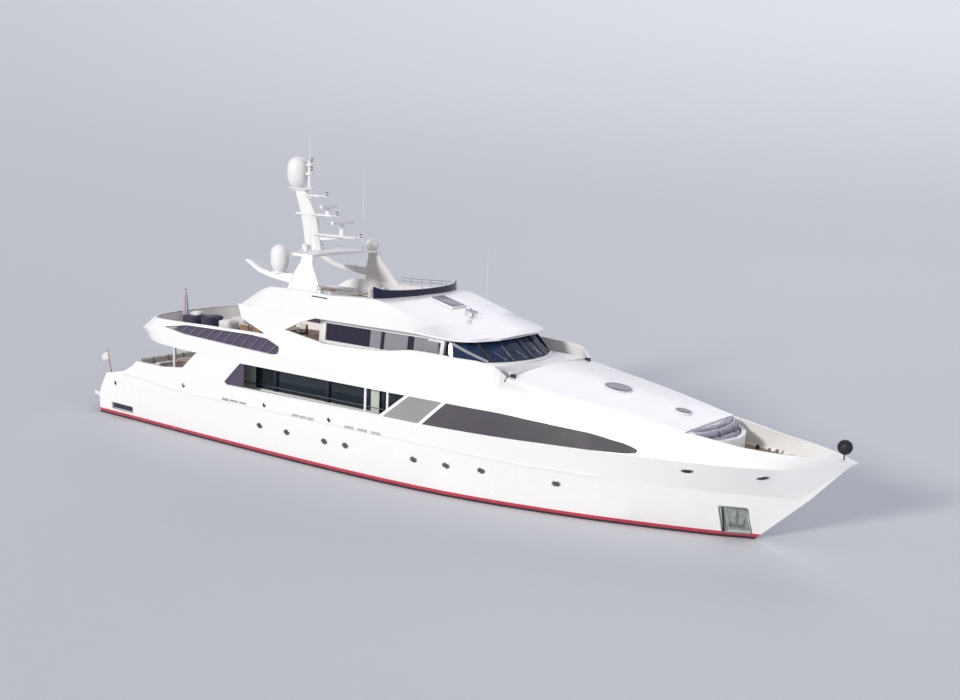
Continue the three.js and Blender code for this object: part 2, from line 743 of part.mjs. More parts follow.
function bow() {
  const inside = topsideEnvelope(PLATE);
  const ahead = [[8550, -1500], [WELL_END, -1500], [WELL_END, 1500], [8550, 1500]];
  const wellOutline = [...acrossBow(PAD_FORWARD, BREAKWATER.thickness), ...ahead];
  const well = inside.intersect(planPrism(wellOutline, FOREDECK, FAR));
  const recess = planPrism(padOutline(0), PAD.floor, FAR);
  const crestOutline = [...acrossBow(PAD_FORWARD, -1), ...ahead];
  const crest = inside.intersect(planPrism(crestOutline, BREAKWATER.top, FAR));
  return OUTSIDE.intersect(box(BOW_START + GAP, FAR, -FAR, FAR, MAIN_DECK + GAP, FAR))
    .subtract(well)
    .subtract(recess)
    .subtract(crest);
}

// Pairs of posts on a plate, for mooring lines. Columns: x, y.
const BOLLARDS = [
  [9450, 720],
];

function bollard() {
  const post = moved(cylinder(30, 120, 10), -90, 0, 60).add(moved(cylinder(40, 14, 10), -90, 0, 120));
  const other = transformed(post, new THREE.Matrix4().makeScale(-1, 1, 1));
  return box(-160, 160, -50, 50, -RUN, 12).add(post).add(other);
}

function foredeck() {
  const end = WELL_END - FIT;
  const outline = [...acrossBow(PAD_FORWARD, BREAKWATER.thickness + FIT * 2), [8560, -1500], [end, -1500],
    [end, 1500], [8560, 1500]];
  const planks = topsideEnvelope(PLATE + FIT).intersect(planPrism(outline, FOREDECK + GAP, FOREDECK + TEAK));
  const places = BOLLARDS.flatMap(([x, y]) => [[x, y], [x, -y]]);
  return places.reduce((all, [x, y]) => all.add(moved(bollard(), x, y, FOREDECK + TEAK)), planks);
}

function sunPad() {
  return planPrism(padOutline(12), PAD.floor + GAP, PAD.top, 30);
}

const CAPSTAN = { x: -8310, y: 1780, radius: 48, height: 195 };

function capstan() {
  const { radius, height } = CAPSTAN;
  const flange = moved(cylinder(radius * 1.7, 20, 16), 0, 0, 4);
  return moved(cylinder(radius, height, 16), 0, 0, height / 2 - 2).add(flange);
}

function mainDeck() {
  const [aft, forward] = [transomX(MAIN_DECK) + 100, CABIN_START - FIT];
  return topsideEnvelope(PLATE + FIT)
    .intersect(box(aft, forward, -FAR, FAR, MAIN_DECK + GAP, MAIN_DECK + TEAK))
    .subtract(withMirror(stairCut()))
    .add(withMirror(moved(capstan(), CAPSTAN.x, -CAPSTAN.y, MAIN_DECK + TEAK)));
}

// Main saloon: a ring of walls under the upper deck, closed forward by a bulkhead across the beam.
const SALOON = { aft: -4700, y: 1665, sill: 1500, head: 2110, doorHalf: 600, doorHead: 2050 };
const SALOON_WINDOWS = [
  [-4400, -2750],
  [-2650, -1000],
  [-900, 750],
  [850, 2800],
];

function mainHouse() {
  const low = MAIN_DECK + TEAK + GAP;
  const high = UPPER_DECK - UPPER_DECK_THICK - GAP;
  const { aft: back, y, sill, head } = SALOON;
  const outer = box(back, CABIN_START, -y, y, low, high);
  const room = box(back + PLATE, CABIN_START + 10, -y + PLATE, y - PLATE, low - 10, high + 10);
  const windows = SALOON_WINDOWS.map(([aft, forward]) => box(aft, forward, -FAR, FAR, sill, head));
  const { doorHalf, doorHead } = SALOON;
  const door = box(back - 10, back + PLATE + 10, -doorHalf, doorHalf, low - 10, doorHead);
  const bulkhead = topsideEnvelope(PLATE + FIT)
    .intersect(box(CABIN_START, CABIN_START + PLATE, -FAR, FAR, MAIN_DECK + GAP, SIDE_TOP - 10));
  return [room, ...windows, door].reduce((walls, cut) => walls.subtract(cut), outer).add(bulkhead);
}

function saloonGlass() {
  const y = -SALOON.y + PLATE + GAP;
  return box(-4450, 2850, y, y + GLASS, SALOON.sill - 30, SALOON.head + 30);
}

// A sliding door leaf on a runner that stands on the deck.
function doorLeaf(x0, x1, y0, y1, deck, head) {
  const leaf = box(x0, x1, y0, y1, deck + RUN, head);
  const [endX, endY] = [(x1 - x0) / 5, (y1 - y0) / 5];
  return leaf.add(box(x0 + endX, x1 - endX, y0 + endY, y1 - endY, deck + GAP, deck + RUN + 1));
}

function saloonDoor() {
  return doorLeaf(SALOON.aft - RUN - 30, SALOON.aft - RUN, -SALOON.doorHalf - 30, -3, MAIN_DECK + TEAK,
    SALOON.doorHead + 20);
}

// Upper bulwark in five lengths: across the stern, a wing with a long slot on each side, and a forward side
// on each side. Its forward ends belong to the coach roof. A band under it closes the topsides' opening.
const WING = { aft: -6430, forward: -1960 };
const BULWARK_END = 3000;

function upperBulwark() {
  const [aft, forward] = [AFT_JOINT.at(-1)[0] + GAP, FORWARD_JOINT.at(-1)[0] - GAP];
  const [aftTop, forwardTop] = SIDE_OPENING;
  const top = SIDE_TOP + RUN;
  const profile = [[aft, aftTop[1]], [forward, forwardTop[1]], [forward, top], [aft, top]];
  const band = moved(sidePlate(), 0, 0, RUN).intersect(sidePrism(profile, -FAR, -100));
  return bulwarkWall(PLATE)
    .subtract(withMirror(sideCut(BULWARK_SLOT, 60)))
    .subtract(box(STERN_PROFILE.at(-1)[0], FAR, -FAR, FAR, 0, SIDE_TOP + GAP))
    .add(withMirror(band));
}

const BULWARK = upperBulwark();

function bulwarkLength(aft, forward) {
  return BULWARK.intersect(box(aft, forward, -FAR, 0, 0, FAR));
}

// Upper deck slab inside the bulwark, with the two pillars that carry its overhang
const PILLAR = { x: -6400, y: 1665, radius: 45 };

function pillar() {
  const foot = MAIN_DECK + TEAK + GAP;
  const head = UPPER_DECK - UPPER_DECK_THICK / 2;
  return moved(cylinder(PILLAR.radius, head - foot, 20), PILLAR.x, -PILLAR.y, (head + foot) / 2);
}

function upperDeck() {
  const edge = bulwarkRows().map(([base, knuckle]) => {
    const part = (UPPER_DECK - UPPER_DECK_THICK / 2 - base.z) / (knuckle.z - base.z);
    return new THREE.Vector3().lerpVectors(base, knuckle, part);
  });
  const outline = edge.map((p, i) => {
    const along = edge[Math.min(i + 1, edge.length - 1)].clone().sub(edge[Math.max(i - 1, 0)]);
    const inward = point(along.y, -along.x, 0).setLength(PLATE / 2);
    return [p.x + inward.x, p.y + inward.y];
  });
  const clear = bulwarkWall(PLATE + FIT * 6);
  return planPrism(outline, UPPER_DECK - UPPER_DECK_THICK, UPPER_DECK)
    .subtract(clear)
    .subtract(moved(clear, 0, 0, -RUN))
    .subtract(moved(clear, 0, 0, -RUN / 6))
    .subtract(box(COACH_ROOF[0][0] - 10, FAR, -FAR, FAR, 0, FAR))
    .add(withMirror(pillar()));
}

// Round skylights on the coach roof. Columns: x, radius, z of the rim's middle.
const SKYLIGHTS = [
  [6080, 322, 2660],
  [7675, 188, 2392],
];
const COACH_SLOPE = 9.6;

function coachRoof() {
  const foot = SIDE_TOP + GAP;
  const rings = (lowered) => COACH_ROOF.map(([x, footY, edge, edgeZ, crown]) => [
    point(x, 0, foot), point(x, footY - lowered, foot), point(x, edge - lowered, edgeZ - lowered),
    point(x, edge * 0.55, crown - (crown - edgeZ) * 0.3 - lowered), point(x, 0, crown - lowered),
  ]);
  const bulwarkEnds = BULWARK.intersect(box(BULWARK_END + GAP, FAR, -FAR, FAR, 0, FAR));
  const skin = symmetricLoft(refine(rings(0), 2)).add(bulwarkEnds);
  const inside = box(4290 + PLATE, BOW_START - PLATE, -FAR, FAR, 0, FAR);
  const space = symmetricLoft(refine(rings(PLATE), 2)).intersect(inside);
  const deck = UPPER_DECK + GAP;
  const ledge = sidePrism([[3000, deck], [4295, deck], [4295, 2940], [3000, 2975]], -1490, 1490);
  const ring = (radius) => turned(cylinder(radius, 60), AXES.y, COACH_SLOPE);
  const rims = SKYLIGHTS.map(([x, radius, z]) => moved(ring(radius), x, 0, z));
  const roof = skin.subtract(space).add(ledge.subtract(houseBody(FIT, 0, FAR)));
  return rims.reduce((all, rim) => all.add(rim), roof);
}

// Upper house: a ring of walls with side windows, doors and a wraparound windscreen cut in it.
const UPPER_WINDOWS = [
  [-1020, 700],
  [760, 1980],
];
const WINDOW_BAND = { low: 3020, high: 3430 };
const WHEELHOUSE_DOOR = { aft: 2070, forward: 2400, head: 3380 };
const LOUNGE_DOOR = { half: 350, head: 3350 };
const WINDSHIELD_START = 2560;
const MULLIONS = [0, 620, 1180];
const CEILING_GAP = 5;
const LEAF = 28;
const LAP = 20;

function upperHouse() {
  const low = UPPER_DECK + GAP;
  const walls = houseBody(0, low, FAR).subtract(houseBody(-HOUSE_WALL, low - 10, FAR));
  const across = (aft, forward, bottom, head) => box(aft, forward, -FAR, FAR, bottom, head);
  const sideWindows = UPPER_WINDOWS.map((ends) => across(...ends, WINDOW_BAND.low, WINDOW_BAND.high));
  const sideDoor = across(WHEELHOUSE_DOOR.aft, WHEELHOUSE_DOOR.forward, low - 10, WHEELHOUSE_DOOR.head);
  const aftDoor = box(-1400, -1200, -LOUNGE_DOOR.half, LOUNGE_DOOR.half, low - 10, LOUNGE_DOOR.head);
  const post = (y) => box(2800, 5000, y - 18, y + 18, 0, FAR);
  const band = across(WINDSHIELD_START, 5000, WINDOW_BAND.low, WINDOW_BAND.high);
  const windshieldCut = MULLIONS.reduce((cut, y) => cut.subtract(post(y)).subtract(post(-y)), band);
  const ceiling = SUN_ROOF.map(([x, , eaveZ]) => [x, eaveZ - CEILING_GAP]);
  const roof = sidePrism([...ceiling, [5000, 3450], [5000, FAR], [-4000, FAR], [-4000, 3560]], -FAR, FAR);
  return [...sideWindows, sideDoor, aftDoor, windshieldCut, roof]
    .reduce((body, cut) => body.subtract(cut), walls);
}

function windshield() {
  const start = WINDSHIELD_START - 20;
  return houseBody(-HOUSE_WALL - FIT, WINDOW_BAND.low - 20, WINDOW_BAND.high + 15)
    .subtract(houseBody(-HOUSE_WALL - FIT - GLASS, 0, FAR))
    .intersect(box(start, 5000, -FAR, FAR, 0, FAR));
}

function upperSideGlass() {
  return houseBody(-HOUSE_WALL - FIT, WINDOW_BAND.low - 20, WINDOW_BAND.high + 15)
    .subtract(houseBody(-HOUSE_WALL - FIT - GLASS, 0, FAR))
    .intersect(box(-1060, 2020, -FAR, -1000, 0, FAR));
}

function wheelhouseDoor() {
  const { aft, forward, head } = WHEELHOUSE_DOOR;
  const face = -1715 - RUN;
  return doorLeaf(aft - LAP, forward + LAP, face - LEAF, face, UPPER_DECK, head + LAP);
}

function loungeDoor() {
  const { half, head } = LOUNGE_DOOR;
  const face = -1300 - RUN;
  return doorLeaf(face - LEAF, face, -half - LAP, half + LAP, UPPER_DECK, head + LAP);
}

// Sun deck, with its well, over the upper house; a buttress on each side stands on the bulwark.
function sunRoofBody() {
  const halves = SUN_ROOF.map(([x, eaveY, eaveZ, coamingY, coamingZ, crown]) => [
    point(x, 0, eaveZ), point(x, eaveY, eaveZ), point(x, eaveY - 25, eaveZ + 35),
    point(x, coamingY, coamingZ),
    point(x, coamingY * 0.55, crown - (crown - coamingZ) * 0.3),
    point(x, 0, crown),
  ]);
  return symmetricLoft(refine(halves, 2));
}

const WELL = { y: 1400, front: 520, corner: 500 };

// Helm console at the front of the well, a hatch and a searchlight on the roof ahead of it
const CONSOLE = [
  [32, -788],
  [330, -770],
  [408, -310],
  [408, 88],
  [32, 88],
];
const ROOF_HATCH = { x: 1320, z: 4020, length: 720, width: 540, slope: 13.9 };
const SEARCHLIGHT = { x: 2250, y: -320, z: 3776, radius: 42, height: 100 };

function sunDeckFittings() {
  const dash = box(116, 384, -704, 24, SUN_DECK, SUN_DECK + 488);
  const console = planPrism(CONSOLE, SUN_DECK - RUN, SUN_DECK + 392).add(dash);
  const { x, z, length, width, slope } = ROOF_HATCH;
  const hatch = box(-length / 2, length / 2, -width / 2, width / 2, -20, 45);
  const light = SEARCHLIGHT;
  const can = moved(turned(cylinder(light.radius, 96, 16), AXES.y, 90), 0, 0, light.height);
  const post = moved(cylinder(24, light.height, 12), 0, 0, light.height / 2 - 20);
  return console
    .add(moved(turned(hatch, AXES.y, slope), x, 0, z))
    .add(moved(can.add(post), light.x, light.y, light.z));
}

function sunDeck() {
  const { y, front, corner } = WELL;
  const half = [[-4000, -y], [front - corner, -y], [front - 120, -y + corner], [front, -400]];
  const outline = [...half, ...half.map(([x, side]) => [x, -side]).reverse()];
  const well = planPrism(outline, SUN_DECK, SUN_DECK + 1000, 120);
  const buttress = sidePrism(BUTTRESS, -2040, -1985).subtract(moved(bulwarkWall(PLATE + 20), 0, 0, GAP));
  return sunRoofBody().subtract(well).add(withMirror(buttress)).add(sunDeckFittings());
}

// Low wind screen around the front of the sun deck. Columns: x, y, top edge z.
const SCREEN_LINE = [
  [340, -1560, 4430],
  [500, -1430, 4360],
  [660, -1000, 4320],
  [735, -500, 4315],
  [755, 0, 4310],
];
const SCREEN_LEAN = 25;

function windScreen() {
  const half = SCREEN_LINE.map(([x, y, top]) => [point(x, y, 4060), point(x - SCREEN_LEAN, y, top)]);
  const rows = refine([...half, ...half.slice(0, -1).map((row) => row.map(mirrored)).reverse()], 2);
  return wall(rows.reverse(), -12).subtract(moved(sunRoofBody(), 0, 0, GAP));
}

// Radar arch: two raked legs on the coamings, a cross beam, and a swept horn behind each leg.
const ARCH = { beam: 4885, top: 4950, half: 1250, splay: 0.29, foot: 4050 };
const DOME = { x: -2920, y: 1335, base: 4470 };
const ARCH_LEG = [
  [-2500, ARCH.foot],
  [-2450, 4300],
  [-2380, 4500],
  [-2250, 4750],
  [-2230, 4920],
  [-1890, 4920],
  [-1850, 4720],
  [-1640, 4440],
  [-1360, ARCH.foot],
];
const ARCH_HORN = [
  [-2400, 4230],
  [-3120, 4310],
  [-3560, 4400],
  [-4110, 4640],
  [-4080, 4665],
  [-3560, 4490],
  [-3120, 4420],
  [-2400, 4460],
];

// Small domes on the arch's beam. Columns: x, y, radius.
const SMALL_DOMES = [
  [-3060, 300, 75],
  [-2720, 620, 55],
];

function smallDome(radius) {
  const ball = solid(new THREE.SphereGeometry(radius, 14, 8));
  return moved(cylinder(radius * 0.75, radius, 14), 0, 0, radius / 2 - RUN).add(moved(ball, 0, 0, radius));
}

function arch() {
  const splay = new THREE.Matrix4().makeShear(0, 0, 0, 0, 0, ARCH.splay);
  const upright = sidePrism(ARCH_LEG, -35, 35, 60).add(sidePrism(ARCH_HORN, -60, 60));
  const leg = moved(transformed(moved(upright, 0, 0, -ARCH.top), splay), 0, -ARCH.half + 40, ARCH.top);
  const beamOutline = [[-3260, -260], [-2940, -700], [-2600, -ARCH.half - 20], [-1880, -ARCH.half - 20],
    [-2010, -800], [-2080, 0], [-2010, 800], [-1880, ARCH.half + 20], [-2600, ARCH.half + 20], [-2940, 700],
    [-3260, 260]];
  const beam = planPrism(beamOutline, ARCH.beam, ARCH.top, 80);
  const shelf = moved(cylinder(190, 40, 24), DOME.x, -DOME.y, DOME.base - 20);
  const domes = SMALL_DOMES.map(([x, y, radius]) => moved(smallDome(radius), x, -y, ARCH.top));
  const side = domes.reduce((all, unit) => all.add(unit), leg.add(shelf));
  return beam.add(withMirror(side)).subtract(moved(sunRoofBody(), 0, 0, GAP));
}

// Mast: a pylon that leans aft from the arch, with radar platforms ahead of it and a pole at its head.
// Columns: height, aft x, forward x, half width.
const PYLON = [
  [ARCH.top + GAP, -3240, -2740, 150],
  [5300, -3320, -2830, 130],
  [5820, -3450, -2950, 110],
  [6389, -3680, -3330, 90],
  [6445, -3880, -3080, 130],
  [6480, -3880, -3080, 150],
];
const PLATFORMS = [
  { z: 5320, aft: -3000, tip: -1556, half: 170 },
  { z: 5810, aft: -3560, tip: -2366, half: 140 },
  { z: 6280, aft: -3450, tip: -2860, half: 90 },
];
const RADARS = [
  { name: "radar_lower", x: -2080, z: 5360, pedestal: 250, length: 760 },
  { name: "radar_upper", x: -2560, z: 5850, pedestal: 130, length: 560 },
];
const POLE = { x: -3220, top: 7712 };

function mast() {
  const rings = PYLON.map(([z, aft, forward, half]) => {
    const side = [point(aft, half * 0.5, z), point(aft + 60, half, z), point(forward - 90, half, z),
      point(forward, half * 0.4, z)];
    return [...side, ...side.map(mirrored).reverse()];
  });
  const shelves = PLATFORMS.map(({ z, aft, tip, half }) => {
    const outline = [[aft, -half], [tip - 120, -half], [tip, -half * 0.5], [tip, half * 0.5],
      [tip - 120, half], [aft, half]];
    const gusset = sidePrism([[aft + 100, z - 150], [aft + 100, z + 5], [tip - 200, z + 5]], -25, 25);
    return planPrism(outline, z, z + 40).add(gusset);
  });
  const pedestals = RADARS.map(({ x, z, pedestal: height }) => (
    moved(cylinder(75, height + 1, 20, 60), x, 0, z + height / 2)
  ));
  const pole = [
    moved(cylinder(45, 780, 16), POLE.x, 0, 6855),
    moved(cylinder(110, 60, 16), POLE.x, 0, 6840),
    moved(cylinder(95, 50, 16), POLE.x, 0, 7060),
    moved(cylinder(9, 560, 10), POLE.x, 0, POLE.top - 280),
    box(POLE.x - 12, POLE.x + 12, -170, 170, 7210, 7235),
  ];
  return [...shelves, ...pedestals, ...pole].reduce((all, piece) => all.add(piece), loft(rings));
}

function radar({ length }) {
  const end = length / 2;
  const bar = planPrism([[-45, -end], [45, -end], [60, 0], [45, end], [-45, end], [-60, 0]], 28, 108, 15);
  return bar.add(moved(cylinder(40, 30, 16), 0, 0, 15 + GAP));
}

function dome(radius, height) {
  const foot = [[0, 0], [radius * 0.55, 0], [radius * 0.85, height * 0.12], [radius, height * 0.32]];
  const profile = foot.map(([x, z]) => new THREE.Vector2(x, z));
  for (let i = 0; i <= 6; i += 1) {
    const turn = (Math.PI / 2) * (i / 6);
    profile.push(new THREE.Vector2(radius * Math.cos(turn), height - radius + radius * Math.sin(turn)));
  }
  profile.at(-1).x = 0;
  return solid(new THREE.LatheGeometry(profile, 24).rotateX(Math.PI / 2));
}

// Deck gear at the bow
const WINDLASS = { x: 10020, y: 230, drum: 95, height: 150 };
const HATCH = { x: 9620, half: 170, thickness: 24 };
const JACKSTAFF = { x: 11210, base: 2009.6, top: 2111 };
const BALL_RADIUS = 150;

function windlass() {
  const base = planPrism([[-200, -330], [260, -280], [260, 280], [-200, 330]], 0, 24, 30);
  const { y, drum: radius, height } = WINDLASS;
  const drum = moved(cylinder(radius, height, 20), 0, -y, 24 + height / 2 - 2)
    .add(moved(cylinder(radius * 1.25, 24, 20), 0, -y, 24 + height))
    .add(box(120, 220, -y - 45, -y + 45, 20, 90));
  return moved(base.add(withMirror(drum)), WINDLASS.x, 0, FOREDECK + TEAK + GAP);
}

function hatchLid() {
  return box(-HATCH.half, HATCH.half, -HATCH.half, HATCH.half, 0, HATCH.thickness);
}

// The black anchor ball on its staff
function anchorBall() {
  const { x, base, top } = JACKSTAFF;
  const staff = moved(cylinder(14, top - base, 12), x, 0, (top + base) / 2);
  const sphere = solid(new THREE.SphereGeometry(BALL_RADIUS, 20, 12));
  return staff.add(moved(sphere, x, 0, top - RUN + BALL_RADIUS));
}

// Anchor laid against the back of its pocket. The hull's side there runs in by BOW_RUN for each unit
// forward and flares out by BOW_FLARE for each unit of height.
const ANCHOR = { x: 9180, y: -262, z: 410 };
const BOW_RUN = 0.395;
const BOW_FLARE = 0.421;

function anchor(hullBody) {
  const shank = box(-22, 22, -16, 16, -140, 270);
  const crown = box(-150, 150, -26, 26, -190, -130);
  const fluke = sidePrism([[90, -185], [165, 60], [150, -185]], -14, 14)
    .add(sidePrism([[-150, -185], [-165, 60], [-90, -185]], -14, 14));
  const forward = point(1, BOW_RUN, 0).normalize();
  const up = point(0, -BOW_FLARE, 1).projectOnPlane(forward).normalize();
  const basis = new THREE.Matrix4().makeBasis(forward, up.clone().cross(forward), up);
  const laid = transformed(shank.add(crown).add(fluke), basis.setPosition(ANCHOR.x, ANCHOR.y, ANCHOR.z));
  return laid.subtract(moved(hullBody, 0, -GAP, 0));
}

// Furniture
function settee() {
  const outline = [[-8690, -1080], [-8060, -1080], [-8060, -620], [-8280, -620], [-8280, 620], [-8060, 620],
    [-8060, 1080], [-8690, 1080]];
  const seat = planPrism(outline, 0, 220, 40);
  const back = planPrism([[-8690, -1080], [-8560, -1080], [-8560, 1080], [-8690, 1080]], 200, 420, 30);
  return moved(seat.add(back), 0, 0, MAIN_DECK + TEAK + GAP);
}

function table(length, width, height) {
  const [end, side] = [length / 2, width / 2];
  const top = planPrism([[-end, -side], [end, -side], [end, side], [-end, side]], height - 22, height, 60);
  const post = moved(cylinder(50, height - 16), 0, 0, height / 2 - 2);
  return top.add(post).add(moved(cylinder(160, 16), 0, 0, 8));
}

function parasol() {
  const foot = cylinder(150, 40, 20);
  const post = moved(cylinder(14, 1080, 12), 0, 0, 555);
  const canopy = moved(cylinder(90, 700, 12, 22), 0, 0, 760);
  return foot.add(post).add(canopy);
}

const HULL_BODY = hull();
add("hull", HULL_BODY, "white");
add("transom_door", transomDoor(), "white");
add("main_deck", mainDeck(), "teak");
const [QUARTER, LOW_BULWARK, WINDOW_PANEL, FORWARD_SIDE] = topsideLengths();
addPair("quarter", QUARTER, "white");
addPair("side_bulwark", LOW_BULWARK, "white");
addPair("window_panel", WINDOW_PANEL, "white");
addPair("topside", FORWARD_SIDE, "white");
add("bow", bow(), "white");
add("foredeck", foredeck(), "teak");
add("bow_sun_pad", sunPad(), "navy");
add("main_house", mainHouse(), "white");
addPair("saloon_glass", saloonGlass(), "glass");
addPair("saloon_door", saloonDoor(), "glass");
addPair("screen_window", sidePane(SCREEN, CORNER / 2), "grey");
addPair("flush_window", sidePane(FLUSH_WINDOW, CORNER / 2), "glass");
add("upper_deck", upperDeck(), "teak");
add("upper_bulwark", BULWARK.intersect(box(-FAR, WING.aft - GAP, -FAR, FAR, 0, FAR)), "white");
addPair("upper_wing", bulwarkLength(WING.aft, WING.forward - GAP), "white");
addPair("upper_side", bulwarkLength(WING.forward, BULWARK_END), "white");
add("coach_roof", coachRoof(), "white");
add("upper_house", upperHouse(), "white");
add("windshield", windshield(), "glass");
addPair("upper_side_glass", upperSideGlass(), "glass");
addPair("wheelhouse_door", wheelhouseDoor(), "white");
add("lounge_door", loungeDoor(), "glass");
add("sun_deck", sunDeck(), "white");
add("wind_screen", windScreen(), "navy");
add("arch", arch(), "white");
add("mast", mast(), "white");
add("dome_top", dome(265, 777), "white", [-3640, 0, 6480.3]);
add("dome_starboard", dome(222, 670), "white", [DOME.x, -DOME.y, DOME.base + GAP]);
add("dome_port", dome(174, 290), "white", [-2060, 1160, ARCH.top + GAP]);
RADARS.forEach((unit) => add(unit.name, radar(unit), "white", [unit.x, 0, unit.z + unit.pedestal + 0.5]));
add("anchor_ball", anchorBall(), "black");
addPair("anchor", anchor(HULL_BODY), "steel");
add("windlass", windlass(), "steel");
add("foredeck_hatch", hatchLid(), "grey", [HATCH.x, 0, FOREDECK + TEAK + GAP]);
addPair("propeller", propeller(), "bronze");
addPair("rudder", moved(rudder(), RUDDER.x, -RUDDER.y, 0), "white");
addPair("stabiliser_fin", fin(), "white");
add("aft_settee", settee(), "white");
add("aft_table", table(900, 620, 370), "teak", [-7640, 0, MAIN_DECK + TEAK + GAP]);
add("parasol", parasol(), "navy", [-7150, -640, UPPER_DECK + 20 + GAP]);

export default yacht;
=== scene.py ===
import math

import bmesh
import bpy
from mathutils import Matrix, Quaternion, Vector


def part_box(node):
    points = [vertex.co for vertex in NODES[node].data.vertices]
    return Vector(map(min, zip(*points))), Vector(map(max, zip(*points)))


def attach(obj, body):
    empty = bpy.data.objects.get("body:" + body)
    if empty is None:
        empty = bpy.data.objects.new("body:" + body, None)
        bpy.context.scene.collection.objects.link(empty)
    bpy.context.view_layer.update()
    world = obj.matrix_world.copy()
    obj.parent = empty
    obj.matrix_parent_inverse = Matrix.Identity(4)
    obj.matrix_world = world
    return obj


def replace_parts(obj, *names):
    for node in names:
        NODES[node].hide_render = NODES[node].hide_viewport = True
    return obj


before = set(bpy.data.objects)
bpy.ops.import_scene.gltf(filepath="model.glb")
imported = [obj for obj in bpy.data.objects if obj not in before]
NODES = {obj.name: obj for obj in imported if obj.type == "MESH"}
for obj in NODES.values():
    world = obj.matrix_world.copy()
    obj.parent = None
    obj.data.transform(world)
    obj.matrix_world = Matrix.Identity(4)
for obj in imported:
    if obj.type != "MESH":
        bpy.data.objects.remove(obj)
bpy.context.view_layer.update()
ROOT = "yacht"
bpy.ops.object.select_all(action="DESELECT")

# Camera at the viewing angle of the photograph
CAMERA_PLACE = Vector((19.75, -24.29, 8.06))
CAMERA_AIM = Vector((2.32, 0, 3.02))
CAMERA_TILT = 2.3
LENS = 48.5


def add_camera():
    facing = (CAMERA_AIM - CAMERA_PLACE).to_track_quat("-Z", "Y")
    tilted = facing @ Quaternion((0, 0, 1), math.radians(CAMERA_TILT))
    bpy.ops.object.camera_add(location=CAMERA_PLACE, rotation=tilted.to_euler())
    camera = bpy.context.object
    camera.data.lens = LENS
    camera.data.clip_end = 400
    bpy.context.scene.camera = camera


add_camera()

# Levels, stations and sides that the pieces share


def level_of(name, x):
    """Height of a deck on the centreline."""
    return NODES[name].ray_cast((x, 0, 12), (0, 0, -1))[1].z


MAIN_FLOOR = level_of("main_deck", -6)
UPPER_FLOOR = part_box("upper_deck")[1].z
FORE_FLOOR = level_of("foredeck", 10.6)
SUN_FLOOR = 3.69
SIDES = {"starboard": -1, "port": 1}
HULL_SIDE = ("hull", "quarter", "side_bulwark", "window_panel", "topside")
SHELL = (*HULL_SIDE, "bow", "upper_bulwark", "upper_wing", "upper_side", "coach_roof")
UP = Vector((0, 0, 1))
# Each node as it is shown, in which lines that are cast meet the pieces.
SHOWN = dict(NODES)
# Corners nearer together than this are one.
MERGE = 1e-5


# Ways of making shapes


def pick(*pieces):
    bpy.ops.object.select_all(action="DESELECT")
    for piece in pieces:
        piece.select_set(True)
    bpy.context.view_layer.objects.active = pieces[0]


def settle(piece):
    """Puts the piece's place, turn and size into its mesh."""
    pick(piece)
    bpy.ops.object.transform_apply(location=True, rotation=True, scale=True)
    return piece


def modify(piece, kind, **settings):
    pick(piece)
    modifier = piece.modifiers.new(kind, kind)
    for key, value in settings.items():
        setattr(modifier, key, value)
    bpy.ops.object.modifier_apply(modifier=modifier.name)
    return piece


def choose(piece, kind="FACE", test=lambda item: True):
    """Opens the piece in edit mode with only the elements chosen whose test holds."""
    pick(piece)
    bpy.ops.object.mode_set(mode="EDIT")
    bpy.ops.mesh.select_mode(type=kind)
    bpy.ops.mesh.select_all(action="DESELECT")
    mesh = bmesh.from_edit_mesh(piece.data)
    for item in {"FACE": mesh.faces, "EDGE": mesh.edges, "VERT": mesh.verts}[kind]:
        item.select_set(bool(test(item)))
    mesh.select_flush_mode()
    bmesh.update_edit_mesh(piece.data)


def done():
    bpy.ops.object.mode_set(mode="OBJECT")


def outward(piece, merge=MERGE, inside=False):
    """Merges doubled corners and turns every face out, or in."""
    choose(piece)
    bpy.ops.mesh.remove_doubles(threshold=merge)
    bpy.ops.mesh.select_all(action="SELECT")
    bpy.ops.mesh.normals_make_consistent(inside=inside)
    done()
    return piece


def flipped(piece):
    choose(piece)
    bpy.ops.mesh.flip_normals()
    done()
    return piece


def named(name):
    """The primitive that was just added, under its own name."""
    piece = bpy.context.object
    piece.name = name
    return piece


def on_axes(place, along, across, normal):
    """A matrix at a place with three axes."""
    return Matrix.Translation(place) @ Matrix((along, across, normal)).transposed().to_4x4()


def smooth(piece, degrees=30):
    pick(piece)
    bpy.ops.object.shade_smooth_by_angle(angle=math.radians(degrees))
    return piece


def soften(piece, width, segments=2, degrees=30):
    modify(piece, "BEVEL", width=width, segments=segments, limit_method="ANGLE", angle_limit=math.radians(degrees))
    return smooth(piece)


def thicken(piece, thickness, offset=0):
    return modify(piece, "SOLIDIFY", thickness=thickness, offset=offset)


def box(name, low, high, bevel=0.0, segments=2):
    low, high = Vector(low), Vector(high)
    bpy.ops.mesh.primitive_cube_add(size=1, location=(low + high) / 2)
    piece = named(name)
    piece.scale = high - low
    settle(piece)
    return soften(piece, bevel, segments) if bevel else piece


def drum(name, place, radius, height, top=None, vertices=32, axis=UP, bevel=0.0):
    """A cylinder or cone that starts at a place and runs along an axis."""
    axis = Vector(axis).normalized()
    bpy.ops.mesh.primitive_cone_add(vertices=vertices, radius1=radius, radius2=radius if top is None else top,
                                    depth=height, location=Vector(place) + axis * height / 2,
                                    rotation=UP.rotation_difference(axis).to_euler())
    piece = settle(named(name))
    if bevel:
        modify(piece, "BEVEL", width=bevel, segments=3, limit_method="ANGLE", angle_limit=math.radians(50))
    return smooth(piece)


def ball(name, place, size, segments=24):
    bpy.ops.mesh.primitive_uv_sphere_add(segments=segments, ring_count=segments // 2, radius=1, location=place)
    piece = named(name)
    piece.scale = size if hasattr(size, "__len__") else (size,) * 3
    return smooth(settle(piece), 180)


